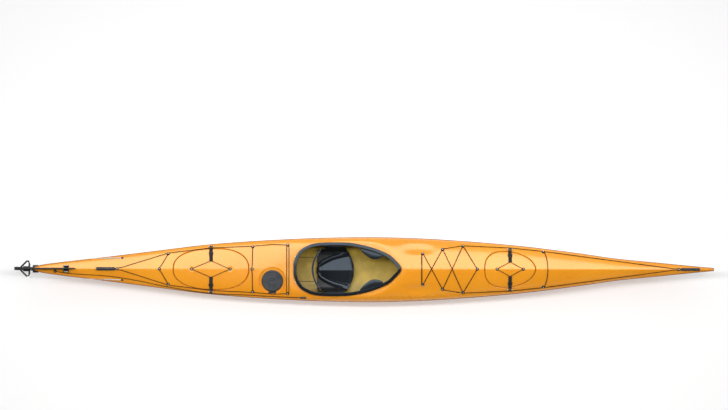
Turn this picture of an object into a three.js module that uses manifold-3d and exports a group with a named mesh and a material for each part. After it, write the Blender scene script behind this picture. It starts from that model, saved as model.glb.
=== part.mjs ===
// Sea kayak: a composite hull and deck, open cockpit, three hatches, deck lines and a lifting rudder.
// Millimetres. +X is the bow, +Y is port and +Z is up. The origin lies under the middle of the boat,
// on the floor that the keel rests on.
import * as THREE from "three";
import { mergeVertices } from "three/addons/utils/BufferGeometryUtils.js";
import Module from "manifold-3d";

const wasm = await Module();
wasm.setup();

// Driving dimensions of the hull
const hullLength = 5412;
const beam = 516;
const sheerHeight = 196;
const crownHeight = 118;
const bowRise = 190;
const keelFlatWidth = 84;
const wall = 4;
const seamGap = 0.4;
const fit = 0.3;
const overrun = 12;
const mergeTolerance = 0.001;

// Lines of the hull: pairs of a share of the hull's length from the stern, and a share of the size named
const halfBeamShares = [
  [0, 0.05], [0.0096, 0.109], [0.0362, 0.19], [0.0983, 0.345], [0.1811, 0.565], [0.2639, 0.775],
  [0.3466, 0.9], [0.43, 0.977], [0.49, 1], [0.56, 0.965], [0.64, 0.865], [0.72, 0.715],
  [0.8, 0.505], [0.86, 0.325], [0.92, 0.2], [0.97, 0.095], [1, 0.035],
];
const sheerShares = [
  [0, 1.357], [0.05, 1.286], [0.1, 1.219], [0.2, 1.107], [0.3, 1.036], [0.4, 1], [0.5, 1.01],
  [0.6, 1.066], [0.7, 1.158], [0.8, 1.28], [0.9, 1.444], [1, 1.643],
];
const keelShares = [
  [0, 0.765], [0.012, 0.54], [0.04, 0.324], [0.09, 0.159], [0.17, 0.047], [0.26, 0], [0.7, 0],
  [0.8, 0.041], [0.87, 0.13], [0.93, 0.324], [0.97, 0.618], [1, 1.118],
];
const crownShares = [
  [0, 0.12], [0.05, 0.22], [0.1, 0.305], [0.2, 0.407], [0.3, 0.407], [0.36, 0.4], [0.4, 0.525],
  [0.46, 0.83], [0.52, 0.958], [0.56, 1], [0.65, 0.932], [0.75, 0.78], [0.85, 0.525], [0.93, 0.288], [1, 0.1],
];
const ridgeShares = [
  [0, 0.5], [0.2, 0.35], [0.33, 0.1], [0.38, 0], [0.48, 0.05], [0.55, 0.3], [0.65, 0.4], [1, 0.5],
];
const bedShares = [
  [0, 2.5], [0.3, 1.6], [0.355, 1.275], [0.381, 1.23], [0.4426, 1.276], [0.496, 1.337],
  [0.5136, 1.403], [0.5406, 1.592], [0.549, 1.653], [0.5625, 1.79], [0.62, 2.5], [1, 2.5],
];
// Fullness of the sections, as powers: 2 is round, less is a vee and more is boxy
const deckPowers = [[0, 2], [0.2, 2.8], [0.36, 3.4], [0.46, 3.2], [0.55, 2.5], [0.7, 2.2], [1, 2]];
const hullPowers = [[0, 1.3], [0.1, 1.6], [0.3, 2.4], [0.5, 2.7], [0.7, 2.3], [0.9, 1.5], [1, 1.25]];
const stationShares = [
  0, 0.0096, 0.024, 0.045, 0.075, 0.11, 0.15, 0.19, 0.23, 0.27, 0.31, 0.345, 0.375, 0.405, 0.435, 0.465,
  0.495, 0.515, 0.532, 0.549, 0.57, 0.6, 0.64, 0.68, 0.72, 0.76, 0.8, 0.84, 0.88, 0.92, 0.95, 0.975, 1,
];
const deckOutShares = [1, 0.985, 0.94, 0.85, 0.7, 0.5, 0.25, 0];
const hullSteps = 6;
const endPlugShare = 0.095;
const sternCutShare = 0.2;
const endOverShare = 0.01;
// Knee scallops pressed into both sides of the fore deck
const scallopDepth = 12;
const scallopStationShare = 0.5646;
const scallopLengthShare = 0.034;
const scallopOutShare = 0.65;
const scallopWidthShare = 0.23;

// Seam tape around the edge between hull and deck
const seamHeight = 12;
const seamThickness = 2.4;

// Bulkheads
const bulkheadThickness = 8;
const dayBulkheadShare = 0.3225;
const rearBulkheadShare = 0.3765;
const frontBulkheadShare = 0.6474;

// Cockpit coaming
const cockpitAftShare = 0.3813;
const cockpitLength = 862;
const cockpitWidth = 434;
const lipWidth = 26;
const coamingWall = 4;
const coamingHeight = 25;
const coamingDepth = 14;
const lipThickness = 5;
const lipRoll = 8;
const coamingSteps = 40;
const coamingShares = [
  [1, 0], [0.989, 0.125], [0.951, 0.295], [0.896, 0.505], [0.803, 0.69], [0.71, 0.818], [0.617, 0.91],
  [0.524, 0.973], [0.432, 0.992], [0.339, 0.992], [0.246, 0.977], [0.172, 0.93], [0.107, 0.82],
  [0.06, 0.69], [0.023, 0.468], [0.003, 0.25], [0, 0],
];

// Hatches: the two oval ones and the round day hatch
const rearHatchEndShare = 0.31643;
const rearHatchLength = 614;
const rearHatchWidth = 340;
const rearHatchWidestShare = 0.57;
const rearHatchPowers = [2.4, 2.3];
const frontHatchShare = 0.7006;
const frontHatchLength = 416;
const frontHatchWidth = 300;
const frontHatchWidestShare = 0.39;
const frontHatchPowers = [2.5, 1.9];
const hatchSteps = 28;
const rimWall = 4;
const rimDepth = 24;
const ledgeWidth = 20;
const ledgeThickness = 4;
const hatchGroove = 5;
const coverPlate = 5;
const coverInset = 1;
const coverRings = [0.5, 0.82];
const skirtWidth = 9;
const gasketThickness = 4;
const gasketWidth = 8;
const gasketInset = 1;
const dayHatchShare = 0.3502;
const dayHatchOut = 93;
const dayRecessRadius = 112;
const dayRecessDepth = 6;
const dayNeckRadius = 80;
const dayNeckHeight = 12;
const dayCoverRadius = 86;
const dayCoverTop = 18;
const dayCoverSkirt = 3;
const dayCoverSkin = 4;
const dayTabWidth = 60;
const dayTabLength = 13;
const tabClearance = 1;
const daySteps = 24;

// Webbing straps over the oval hatches, each with a buckle and a deck anchor
const webWidth = 28;
const webThickness = 2;
const webRest = 0.7;
const strapHingeInset = 5;
const buckleLength = 24;
const buckleWidth = 36;
const buckleHeight = 7;
const strapReachShare = 0.67;
const strapEndShare = 0.39;
const strapSplit = 0.7;
const anchorLength = 9;
const anchorGap = 3;
const webRise = 8;
const webSteps = 6;
const coverCordDiameter = 5;
const coverCordEndShare = 0.5;
const harnessSteps = 3;

// Deck fittings and deck lines: places as shares of the hull's length and of the half beam there. The
// four on the fore deck are given by shares of the deck between the cockpit and the front hatch.
const fittingRadius = 13;
const fittingHeight = 11;
const fittingCrown = 7;
const fittingRoot = 3;
const fittingSides = 6;
const lineDiameter = 5.5;
const bungeeDiameter = 6;
const paddleLineDiameter = 8;
const paddleLineRest = 1.3;
const restGap = 1.8;
const cordSides = 8;
const tunnelSides = 6;
const tunnelGap = 0.8;
const turnRadius = 6;
const turnSteps = 4;
const lineSpan = 150;
const knotInset = 6;
const sternEdgeGap = 35;
const sternEdgeOutShare = 0.78;
const aftMiddleShares = [0.3211, 0.8];
const cockpitSideShares = [0.373, 0.81];
const bowEdgeShares = [0.7498, 0.84];
const sternRidgeGap = 105;
const hatchEdgeRidgeShare = 0.3203;
const foreFirstShares = [0.2584, 0.496];
const foreSecondShares = [0.4994, 0.66];
const foreThirdShares = [0.7461, 0.81];
const foreRidgeShare = 0.918;
const crossBungeeBow = 34;
const crossBungeeFullness = 0.6;
const crossLoopRadius = 9;

// Carry toggles on the centreline at both ends
const toggleLength = 150;
const sternToggleRadius = 14;
const bowToggleRadius = 12;
const toggleRibDepth = 2.5;
const toggleRibs = 6;
const toggleRest = 0.8;
const toggleGap = 3;
const sternToggleShare = 0.1213;
const bowToggleShare = 0.949;
const toggleSides = 10;

// Seat, backband and thigh braces
const seatAft = 188;
const seatLength = 296;
const seatShell = 5;
const seatPanHalfWidth = 165;
const seatFloorHeight = 34;
const seatHipHeight = 92;
const seatRim = 8;
const seatHangerOut = 3;
const seatFrontLip = 26;
const seatFrontSweep = 58;
const seatFrontSteps = 10;
const linerThickness = 14;
const linerRest = 1.6;
const seatStationShares = [
  [0, 0, 0], [0.14, 0.12, -0.1], [0.26, 1, -0.2], [0.84, 1, 0.1], [0.93, 0.25, 0.5], [1, 0, 1],
];
const seatCurveShares = [[1, 1], [0.93, 0.35], [0.75, 0.08], [0, 0]];
const linerCurveShares = [[0.987, 0.88], [0.93, 0.35], [0.75, 0.08], [0, 0]];
const backbandThickness = 18;
const backbandHeight = 105;
const backbandOut = 168;
const backbandSweep = 68;
const backbandBack = 152;
const backbandLevel = 115;
const backbandSteps = 10;
const backArmLength = 54;
const backArmHeight = 26;
const backArmThickness = 6;
const backArmLevel = 164;
const backBungeeDiameter = 5;
const backBungeeOut = 96;
const backBungeeRiseShare = 0.85;
const backBungeeSetShare = 0.3;
const braceStartShare = 0.6172;
const braceLengthShare = 0.2135;
const braceReach = 62;
const braceThickness = 6;
const bracePadThickness = 12;
const braceDrop = 10;
const braceRoot = 8;
const braceSteps = 8;
const bracePadInset = 4;

// Foot rails, pedals and steering cables
const railClearance = 86;
const railLength = 400;
const railHeight = 26;
const railThickness = 14;
const railLevel = 112;
const pedalRun = 250;
const pedalWidth = 74;
const pedalHeight = 124;
const pedalThickness = 12;
const carriageLength = 70;
const carriageThickness = 10;
const carriageGap = 0.5;
const pedalGap = 8;
const cableRise = 20;
const sleeveStandoff = 12;
const sleeveRest = 4;
const sleeveStationShares = [0.16, 0.2, 0.26, 0.32, 0.38, 0.44, 0.49];
const cableDiameter = 2.4;
const sleeveDiameter = 8;
const sleeveBore = 4;
const sleeveBoreDepth = 110;
const cableInSleeve = 60;
const sleeveMouthShare = 0.1021;
const sleeveEntryShare = 0.1322;
const sleeveMouthOut = 84;
const sleeveEntryOut = 88;
const sleeveSink = 30;
const sleeveInset = 11;
const cableEyeLength = 16;
const cableEyeWidth = 10;
const cableEyeHeight = 5;
const cableEyeGap = 1.5;

// Rudder
const barSides = 16;
const bracketPlate = 5;
const bracketWrap = 44;
const bracketWidth = 60;
const barrelGap = 1.5;
const neckWidth = 18;
const headGrip = 10;
const cheekRadius = 24;
const cheekShares = [[0.58, 0.9], [-0.58, 0.9], [-1, 0], [-0.9, -0.6]];
const cheekHeel = 24;
const rootSteps = 6;
const bladeShares = [
  [0.05, 0], [0.86, 0], [0.95, 0.1], [1, 0.42], [0.985, 0.75], [0.92, 0.96], [0.84, 1], [0.5, 0.93],
  [0.25, 0.72], [0.12, 0.5], [0.05, 0.36],
];
const lugRadius = 14;
const barrelRadius = 12;
const barrelHeight = 30;
const barrelLevel = 219;
const pinRadius = 4;
const pinHeadRadius = 7;
const pinHeadHeight = 4;
const pinTail = 5;
const yawPinGap = 32;
const headWidth = 40;
const headAft = 62;
const headGap = 4;
const cheekThickness = 7;
const bladeThickness = 8;
const bladeSideGap = 1;
const bladePivotBack = 108;
const bladePivotLevel = 300;
const bladeRootRadius = 20;
const bladeLength = 468;
const bladeChord = 96;
const bladeBoltRadius = 5;
const bladeBoltHead = 9;
const bladeBoltHeadHeight = 3;
const bladeKeelDrop = 12;
const yokeSpan = 138;
const yokeThickness = 4;
const yokeArm = 10;
const yokeWeb = 14;
const yokeLevel = 268;
const yokeForward = 9;
const yokeTipBack = 22;
const chockWidth = 56;
const chockLength = 40;
const chockRise = 22;
const chockWeb = 7;
const chockShare = 0.0465;

// Rudder haul line and its cleat
const haulStartShare = 0.03;
const haulCleatShare = 0.3913;
const haulOutShares = [
  [0.03, 0.45], [0.0465, 0.64], [0.064, 0.64], [0.1, 0.6], [0.15, 0.74], [0.19, 0.9], [0.25, 0.972],
  [0.27, 0.972], [0.32, 0.93], [0.3913, 0.93],
];
const haulDiameter = 5;
const haulSteps = 22;
const cleatLength = 46;
const cleatWidth = 14;
const cleatHeight = 16;
const cleatWaist = 6;
const cleatFoot = 14;

// The box round the boat, from the rudder head's cheeks to the tape on the stem, is centred on the origin
const aftReach = yawPinGap + bladePivotBack + cheekRadius;
const bowReach = fit + seamThickness;
const bowX = (hullLength + aftReach - bowReach) / 2;
const sternX = bowX - hullLength;

const materials = {
  deck: new THREE.MeshStandardMaterial({ color: 0xf2a63c, roughness: 0.3, metalness: 0 }),
  hull: new THREE.MeshStandardMaterial({ color: 0xe2922f, roughness: 0.3, metalness: 0 }),
  seam: new THREE.MeshStandardMaterial({ color: 0x8a4716, roughness: 0.5, metalness: 0 }),
  inside: new THREE.MeshStandardMaterial({ color: 0xb9a860, roughness: 0.6, metalness: 0 }),
  gloss: new THREE.MeshStandardMaterial({ color: 0x22272b, roughness: 0.22, metalness: 0 }),
  plastic: new THREE.MeshStandardMaterial({ color: 0x24262a, roughness: 0.5, metalness: 0 }),
  rubber: new THREE.MeshStandardMaterial({ color: 0x2b2f33, roughness: 0.7, metalness: 0 }),
  webbing: new THREE.MeshStandardMaterial({ color: 0x26262a, roughness: 0.85, metalness: 0 }),
  cord: new THREE.MeshStandardMaterial({ color: 0x3a2a20, roughness: 0.85, metalness: 0 }),
  foam: new THREE.MeshStandardMaterial({ color: 0x303236, roughness: 0.9, metalness: 0 }),
  alloy: new THREE.MeshStandardMaterial({ color: 0x4a4e54, roughness: 0.4, metalness: 0.8 }),
  steel: new THREE.MeshStandardMaterial({ color: 0xb8bcc0, roughness: 0.3, metalness: 1 }),
  sleeve: new THREE.MeshStandardMaterial({ color: 0xdfe3e4, roughness: 0.4, metalness: 0 }),
};

const kayak = new THREE.Group();

function toSolid(geometry) {
  const bare = geometry.index ? geometry.toNonIndexed() : geometry.clone();
  bare.deleteAttribute("normal");
  bare.deleteAttribute("uv");
  const merged = mergeVertices(bare, mergeTolerance);
  const vertProperties = merged.attributes.position.array;
  const triVerts = new Uint32Array(merged.index.array);
  const corner = (k) => new THREE.Vector3().fromArray(vertProperties, triVerts[k] * 3);
  let volume = 0;
  for (let k = 0; k < triVerts.length; k += 3) {
    volume += corner(k).dot(corner(k + 1).cross(corner(k + 2)));
  }
  if (volume < 0) triVerts.reverse();
  return new wasm.Manifold(new wasm.Mesh({ numProp: 3, vertProperties, triVerts }));
}

function addPiece(name, material, solid) {
  const mesh = solid.getMesh();
  const positions = [];
  for (const index of mesh.triVerts) {
    positions.push(...mesh.vertProperties.subarray(index * mesh.numProp, index * mesh.numProp + 3));
  }
  const geometry = new THREE.BufferGeometry();
  geometry.setAttribute("position", new THREE.Float32BufferAttribute(positions, 3));
  geometry.computeVertexNormals();
  const piece = new THREE.Mesh(geometry, material);
  piece.name = name;
  kayak.add(piece);
  return piece;
}

// Joins rings of points into one closed skin. A loop of rings needs no ends, a solid ring gets a fan
// of faces at each end, and a hollow one, drawn out and back like a trough, gets a strip of them.
function loft(rings, isLoop = false, isHollow = false) {
  const count = rings[0].length;
  const points = rings.flat();
  const index = [];
  const spans = isLoop ? rings.length : rings.length - 1;
  for (let i = 0; i < spans; i++) {
    const here = i * count;
    const there = ((i + 1) % rings.length) * count;
    for (let j = 0; j < count; j++) {
      const k = (j + 1) % count;
      index.push(here + j, here + k, there + k, here + j, there + k, there + j);
    }
  }
  const last = (rings.length - 1) * count;
  if (!isLoop && isHollow) {
    for (let i = 0; i < count / 2 - 1; i++) {
      const [a, b, c, d] = [i, i + 1, count - 2 - i, count - 1 - i];
      index.push(a, c, b, a, d, c);
      index.push(last + a, last + b, last + c, last + a, last + c, last + d);
    }
  } else if (!isLoop) {
    const middleOf = (ring) => ring.reduce((sum, p) => sum.add(p), new THREE.Vector3()).divideScalar(count);
    points.push(middleOf(rings[0]), middleOf(rings[rings.length - 1]));
    for (let j = 0; j < count; j++) {
      const k = (j + 1) % count;
      index.push(last + count, k, j, last + count + 1, last + j, last + k);
    }
  }
  const geometry = new THREE.BufferGeometry();
  const positions = points.flatMap((point) => [point.x, point.y, point.z]);
  geometry.setAttribute("position", new THREE.Float32BufferAttribute(positions, 3));
  geometry.setIndex(index);
  return geometry;
}

// Reads a smooth line through pairs of a place and a value
function lineAt(pairs, at) {
  const last = pairs.length - 1;
  if (at <= pairs[0][0]) return pairs[0][1];
  if (at >= pairs[last][0]) return pairs[last][1];
  let i = 0;
  while (pairs[i + 1][0] < at) i++;
  const rise = (k) => (pairs[k + 1][1] - pairs[k][1]) / (pairs[k + 1][0] - pairs[k][0]);
  const slope = (k) => {
    if (k === 0) return rise(0);
    if (k === last) return rise(last - 1);
    const before = rise(k - 1);
    const after = rise(k);
    return before * after <= 0 ? 0 : (2 * before * after) / (before + after);
  };
  const width = pairs[i + 1][0] - pairs[i][0];
  const t = (at - pairs[i][0]) / width;
  const keep = (1 + 2 * t) * (1 - t) ** 2;
  const lead = t * (1 - t) ** 2 * width * slope(i);
  const trail = t * t * (t - 1) * width * slope(i + 1);
  return keep * pairs[i][1] + lead + (1 - keep) * pairs[i + 1][1] + trail;
}

const xAt = (station) => sternX + station * hullLength;
const stationAt = (x) => (x - sternX) / hullLength;
const rearHatchX = xAt(rearHatchEndShare) - rearHatchLength / 2;
const frontHatchX = xAt(frontHatchShare);
const cockpitEndX = xAt(cockpitAftShare) + cockpitLength;
const halfBeamAt = (station) => (lineAt(halfBeamShares, station) * beam) / 2;
const sheerAt = (station) => lineAt(sheerShares, station) * sheerHeight;
const keelAt = (station) => lineAt(keelShares, station) * bowRise;

function hump(share) {
  return Math.abs(share) < 1 ? (1 - share * share) ** 2 : 0;
}

// Height of the deck's skin above the floor
function deckTop(x, y) {
  const station = stationAt(x);
  const out = Math.min(Math.abs(y) / halfBeamAt(station), 1);
  const arch = Math.sqrt(1 - out ** lineAt(deckPowers, station));
  const ridge = lineAt(ridgeShares, station);
  const crown = lineAt(crownShares, station) * crownHeight;
  const along = hump((station - scallopStationShare) / scallopLengthShare);
  const across = hump((out - scallopOutShare) / scallopWidthShare);
  const skin = sheerAt(station) + crown * ((1 - ridge) * arch + ridge * (1 - out));
  return Math.min(skin - scallopDepth * along * across, lineAt(bedShares, station) * sheerHeight);
}

function deckHalf(station) {
  const half = halfBeamAt(station);
  return deckOutShares.map((share) => [share * half, deckTop(xAt(station), share * half)]);
}

function hullHalf(station) {
  const half = halfBeamAt(station);
  const flat = (keelFlatWidth / 2) * lineAt(halfBeamShares, station);
  const power = 2 / lineAt(hullPowers, station);
  const points = [];
  for (let j = 0; j <= hullSteps; j++) {
    const angle = (j / hullSteps) * (Math.PI / 2);
    const out = j === hullSteps ? 0 : Math.cos(angle) ** power;
    const depth = j === hullSteps ? 1 : Math.sin(angle) ** power;
    points.push([
      flat + (half - flat) * out,
      sheerAt(station) - (sheerAt(station) - keelAt(station)) * depth,
    ]);
  }
  return points;
}

// Moves a half section inwards by a wall, square to the skin; side is 1 for a deck and -1 for a hull
function insetHalf(points, inset, side) {
  const normals = points.slice(1).map(([y, z], i) => {
    const [dy, dz] = [y - points[i][0], z - points[i][1]];
    const length = Math.hypot(dy, dz);
    return [(side * dz) / length, (-side * dy) / length];
  });
  return points.map(([y, z], i) => {
    const before = i === 0 ? [1, 0] : normals[i - 1];
    const after = i === points.length - 1 ? [0, side] : normals[i];
    const sum = [before[0] + after[0], before[1] + after[1]];
    const length = Math.hypot(...sum);
    const reach = (inset * length) / (sum[0] * before[0] + sum[1] * before[1]);
    const moved = y === 0 ? 0 : y - (reach * sum[0]) / length;
    const level = i === 0 ? z : z - (reach * sum[1]) / length;
    return [i === 0 ? y - inset : Math.max(moved, 0), level];
  });
}

// The closed body under the deck's skin or inside the hull's skin, drawn in by an inset
function shellBody(halfAt, side, inset, openBy) {
  const isOpen = (share) => inset <= 0 || lineAt(halfBeamShares, share) > endPlugShare;
  const stations = stationShares.filter(isOpen);
  const rings = stations.map((share) => {
    const half = insetHalf(halfAt(share), inset, side);
    const edge = [half[0][0], half[0][1] - side * openBy];
    if (openBy > 0) half.unshift(edge);
    else half[0] = edge;
    const atCentre = half[half.length - 1][0] === 0;
    const mirrored = half.slice(0, atCentre ? -1 : undefined).reverse();
    const x = xAt(share);
    return [
      ...half.map(([y, z]) => new THREE.Vector3(x, y, z)),
      ...mirrored.map(([y, z]) => new THREE.Vector3(x, -y, z)),
    ];
  });
  return toSolid(loft(rings));
}

const deckBody = (inset, openBy) => shellBody(deckHalf, 1, inset, openBy);
const hullBody = (inset, openBy) => shellBody(hullHalf, -1, inset, openBy);

// Everything inside the boat that is clear of both skins
const interior = hullBody(wall + fit, 0).add(deckBody(wall + fit, 0));

// A solid prism on a closed outline, standing between two levels
function prism(points, low, high) {
  const shape = new THREE.Shape(points.map(({ x, y }) => new THREE.Vector2(x, y)));
  const geometry = new THREE.ExtrudeGeometry(shape, { depth: high - low, bevelEnabled: false });
  return toSolid(geometry.translate(0, 0, low));
}

function box(lengthX, lengthY, lengthZ, x, y, z) {
  return toSolid(new THREE.BoxGeometry(lengthX, lengthY, lengthZ).translate(x, y, z));
}

// A plate cut to an outline in a side view, centred on the boat's centre plane
function sidePlate(points, thickness, y = 0) {
  const shape = new THREE.Shape(points.map(([a, b]) => new THREE.Vector2(a, b)));
  const geometry = new THREE.ExtrudeGeometry(shape, { depth: thickness, bevelEnabled: false });
  return toSolid(geometry.rotateX(Math.PI / 2).translate(0, y + thickness / 2, 0));
}

// A block with its outline in an end view, running along X from a place
function endBlock(points, length, x) {
  const shape = new THREE.Shape(points.map(([a, b]) => new THREE.Vector2(a, b)));
  const geometry = new THREE.ExtrudeGeometry(shape, { depth: length, bevelEnabled: false });
  const turn = new THREE.Matrix4().makeBasis(
    new THREE.Vector3(0, 1, 0),
    new THREE.Vector3(0, 0, 1),
    new THREE.Vector3(1, 0, 0),
  );
  return toSolid(geometry.applyMatrix4(turn).translate(x, 0, 0));
}

function roundBar(radius, low, high, x, y) {
  const geometry = new THREE.CylinderGeometry(radius, radius, high - low, barSides);
  return toSolid(geometry.rotateX(Math.PI / 2).translate(x, y, (low + high) / 2));
}

// A cord's route: its rings lie at the points given
class CordRoute extends THREE.CatmullRomCurve3 {
  getPointAt(share) {
    return this.getPoint(share);
  }
  getTangentAt(share) {
    return this.getTangent(share);
  }
  getSpacedPoints(count) {
    return this.getPoints(count);
  }
}

function cord(points, diameter, sides = cordSides) {
  const section = new THREE.Shape();
  for (let k = 0; k < sides; k++) {
    const angle = ((k + 0.5) / sides) * Math.PI * 2;
    const [a, b] = [(Math.cos(angle) * diameter) / 2, (Math.sin(angle) * diameter) / 2];
    if (k === 0) section.moveTo(a, b);
    else section.lineTo(a, b);
  }
  section.closePath();
  const extrudePath = new CordRoute(points, false, "centripetal");
  return toSolid(new THREE.ExtrudeGeometry(section, { extrudePath, steps: points.length - 1 }));
}

const onDeck = (x, y, lift) => new THREE.Vector3(x, y, deckTop(x, y) + lift);
const restOf = (diameter) => diameter / 2 + restGap;

// The hull is one moulding. It is cut here into lengths, so that each collides as the trough that it is.
const hullLengths = {
  hull_stern: [-endOverShare, sternCutShare],
  hull_rear: [sternCutShare, rearBulkheadShare],
  hull_middle: [rearBulkheadShare, frontBulkheadShare],
  hull_bow: [frontBulkheadShare, 1 + endOverShare],
};

function addShells(deckCuts, deckParts) {
  const hullShell = hullBody(0, -seamGap / 2).subtract(hullBody(wall, overrun));
  const deckInside = deckBody(wall, overrun);
  let deckShell = deckBody(0, -seamGap / 2).subtract(deckInside);
  for (const part of deckParts) deckShell = deckShell.add(part.subtract(deckInside));
  for (const cut of deckCuts) deckShell = deckShell.subtract(cut);
  const high = sheerHeight + crownHeight + bowRise;
  for (const [name, [from, to]] of Object.entries(hullLengths)) {
    const length = (to - from) * hullLength - fit;
    const reach = box(length, beam, high, xAt((from + to) / 2), 0, high / 2);
    addPiece(name, materials.hull, hullShell.intersect(reach));
  }
  addPiece("deck_shell", materials.deck, deckShell);

  const edge = stationShares.map((share) => [share, halfBeamAt(share) + fit]);
  const loop = [...edge.map(([s, y]) => [s, y, 1]), ...edge.reverse().map(([s, y]) => [s, y, -1])];
  const rings = loop.map(([share, y, side]) => {
    const end = share === 0 ? -1 : share === 1 ? 1 : 0;
    const level = sheerAt(share);
    const inner = xAt(share) + end * fit;
    const outer = inner + end * seamThickness;
    return [
      new THREE.Vector3(inner, side * y, level + seamHeight / 2),
      new THREE.Vector3(outer, side * (y + seamThickness), level + seamHeight / 2),
      new THREE.Vector3(outer, side * (y + seamThickness), level - seamHeight / 2),
      new THREE.Vector3(inner, side * y, level - seamHeight / 2),
    ];
  });
  addPiece("seam_tape", materials.seam, toSolid(loft(rings, true)));
}

function addBulkheads(passages) {
  const high = sheerHeight + crownHeight + bowRise;
  const places = {
    day_bulkhead: dayBulkheadShare,
    rear_bulkhead: rearBulkheadShare,
    front_bulkhead: frontBulkheadShare,
  };
  for (const [name, share] of Object.entries(places)) {
    let plate = interior.intersect(box(bulkheadThickness, beam, high, xAt(share), 0, high / 2));
    for (const passage of passages) plate = plate.subtract(passage);
    addPiece(name, materials.inside, plate);
  }
}

// Outlines are functions of an inset, each giving the same count of points
function offsetOutline(points, inset) {
  const count = points.length;
  return points.map((point, i) => {
    const before = points[(i + count - 1) % count];
    const after = points[(i + 1) % count];
    const along = new THREE.Vector2(after.x - before.x, after.y - before.y).normalize();
    return { x: point.x - along.y * inset, y: point.y + along.x * inset };
  });
}

function coamingOutline(inset) {
  const aft = xAt(cockpitAftShare);
  const half = coamingShares.map(
    ([a, b]) => new THREE.Vector3(aft + a * cockpitLength, (b * cockpitWidth) / 2, 0),
  );
  const mirrored = half.slice(1, -1).reverse().map((p) => new THREE.Vector3(p.x, -p.y, 0));
  const curve = new THREE.CatmullRomCurve3([...half, ...mirrored], true, "centripetal");
  return offsetOutline(curve.getSpacedPoints(coamingSteps).slice(0, coamingSteps), inset);
}

// An egg of two half ovals that meet where the hatch is widest, each with its own fullness
function hatchOutline({ centreX, length, width, widestShare, powers }, grow) {
  const points = [];
  for (let i = 0; i < hatchSteps; i++) {
    const angle = (i / hatchSteps) * Math.PI * 2;
    const [c, s] = [Math.cos(angle), Math.sin(angle)];
    const [reach, power] = c > 0 ? [1 - widestShare, powers[1]] : [widestShare, powers[0]];
    const shape = (value) => Math.sign(value) * Math.abs(value) ** (2 / power);
    points.push({
      x: centreX + (widestShare - 0.5) * length + (reach * length + grow) * shape(c),
      y: (width / 2 + grow) * shape(s),
    });
  }
  return points;
}

function roundOutline(centreX, centreY, radius) {
  const points = [];
  for (let i = 0; i < daySteps; i++) {
    const angle = (i / daySteps) * Math.PI * 2;
    points.push({ x: centreX + radius * Math.cos(angle), y: centreY + radius * Math.sin(angle) });
  }
  return points;
}

// A rim swept around an outline; each corner of its section is an inset and its level at a place
function rimLoop(outline, section) {
  const columns = section.map(([inset]) => outline(inset));
  const rings = columns[0].map((_, i) =>
    section.map(([, levelAt], k) => {
      const { x, y } = columns[k][i];
      return new THREE.Vector3(x, y, levelAt(x, y, i));
    }),
  );
  return toSolid(loft(rings, true));
}

// A lid on an outline: rings from the top's middle, over the edge and back to the underside's middle
function lid(outline, layers, topMiddle, underMiddle) {
  const points = layers.flatMap(({ share, level }) =>
    outline.map((point, i) => {
      const x = topMiddle.x + (point.x - topMiddle.x) * share;
      const y = topMiddle.y + (point.y - topMiddle.y) * share;
      return new THREE.Vector3(x, y, level(x, y, i));
    }),
  );
  const count = outline.length;
  const index = [];
  const top = points.length;
  const under = top + 1;
  for (let j = 0; j < count; j++) {
    const k = (j + 1) % count;
    const end = (layers.length - 1) * count;
    index.push(top, j, k);
    index.push(under, end + k, end + j);
    for (let i = 0; i < layers.length - 1; i++) {
      const here = i * count;
      const there = here + count;
      index.push(here + j, there + j, there + k, here + j, there + k, here + k);
    }
  }
  points.push(topMiddle, underMiddle);
  const geometry = new THREE.BufferGeometry();
  const positions = points.flatMap((point) => [point.x, point.y, point.z]);
  geometry.setAttribute("position", new THREE.Float32BufferAttribute(positions, 3));
  geometry.setIndex(index);
  return toSolid(geometry);
}

function addCoaming() {
  const base = coamingOutline(lipWidth - coamingWall / 2).map(({ x, y }) => deckTop(x, y));
  const inner = lipWidth;
  const outer = lipWidth - coamingWall;
  const over = (lift) => (x, y, i) => base[i] + lift;
  const section = [
    [0, over(coamingHeight - lipRoll)],
    [0, over(coamingHeight - lipThickness)],
    [lipThickness, over(coamingHeight)],
    [inner, over(coamingHeight)],
    [inner, over(-coamingDepth)],
    [outer, over(-coamingDepth)],
    [outer, over(coamingHeight - lipThickness)],
    [lipThickness, over(coamingHeight - lipThickness)],
  ];
  addPiece("cockpit_coaming", materials.gloss, rimLoop(coamingOutline, section));
  return prism(coamingOutline(outer - fit), 0, sheerHeight + crownHeight + bowRise);
}

// A domed eyelet screwed to the skin that is given by its height at a place
function fitting(x, y, heightAt = deckTop) {
  const profile = [
    new THREE.Vector2(0, -fittingRoot),
    new THREE.Vector2(fittingRadius, -fittingRoot),
    new THREE.Vector2(fittingRadius - fittingCrown, fittingHeight),
    new THREE.Vector2(0, fittingHeight),
  ];
  const dome = new THREE.LatheGeometry(profile, fittingSides).rotateX(Math.PI / 2);
  return toSolid(dome.translate(x, y, heightAt(x, y)));
}

// A section of webbing lying across the boat: a box's four corners, resting on the deck's skin
function webRing(x, y, half, rise, height) {
  const low = deckTop(x, y) + webRest + rise;
  return [
    new THREE.Vector3(x - half, y, low),
    new THREE.Vector3(x + half, y, low),
    new THREE.Vector3(x + half, y, low + height),
    new THREE.Vector3(x - half, y, low + height),
  ];
}

// The outer part of a strap, with its buckle, lying in from its hinge
function hatchStrap(centreX, hingeY, coverEdge, endY, side) {
  const ring = (y, half, height) => {
    const raised = Math.min(Math.max((y - coverEdge) / webRise + 1, 0), 1);
    return webRing(centreX, side * y, half, (webRise - webRest) * raised, height);
  };
  const buckleStart = endY + buckleLength;
  const stops = [hingeY - webThickness, coverEdge, coverEdge - webRise];
  for (let k = 1; k <= webSteps; k++) {
    stops.push(coverEdge - webRise + ((buckleStart - coverEdge + webRise) * k) / webSteps);
  }
  const web = stops.map((y) => ring(y, webWidth / 2, webThickness));
  const buckle = [buckleStart + webThickness, endY].map((y) => ring(y, buckleWidth / 2, buckleHeight));
  return toSolid(loft(web)).add(toSolid(loft(buckle)));
}

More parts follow.
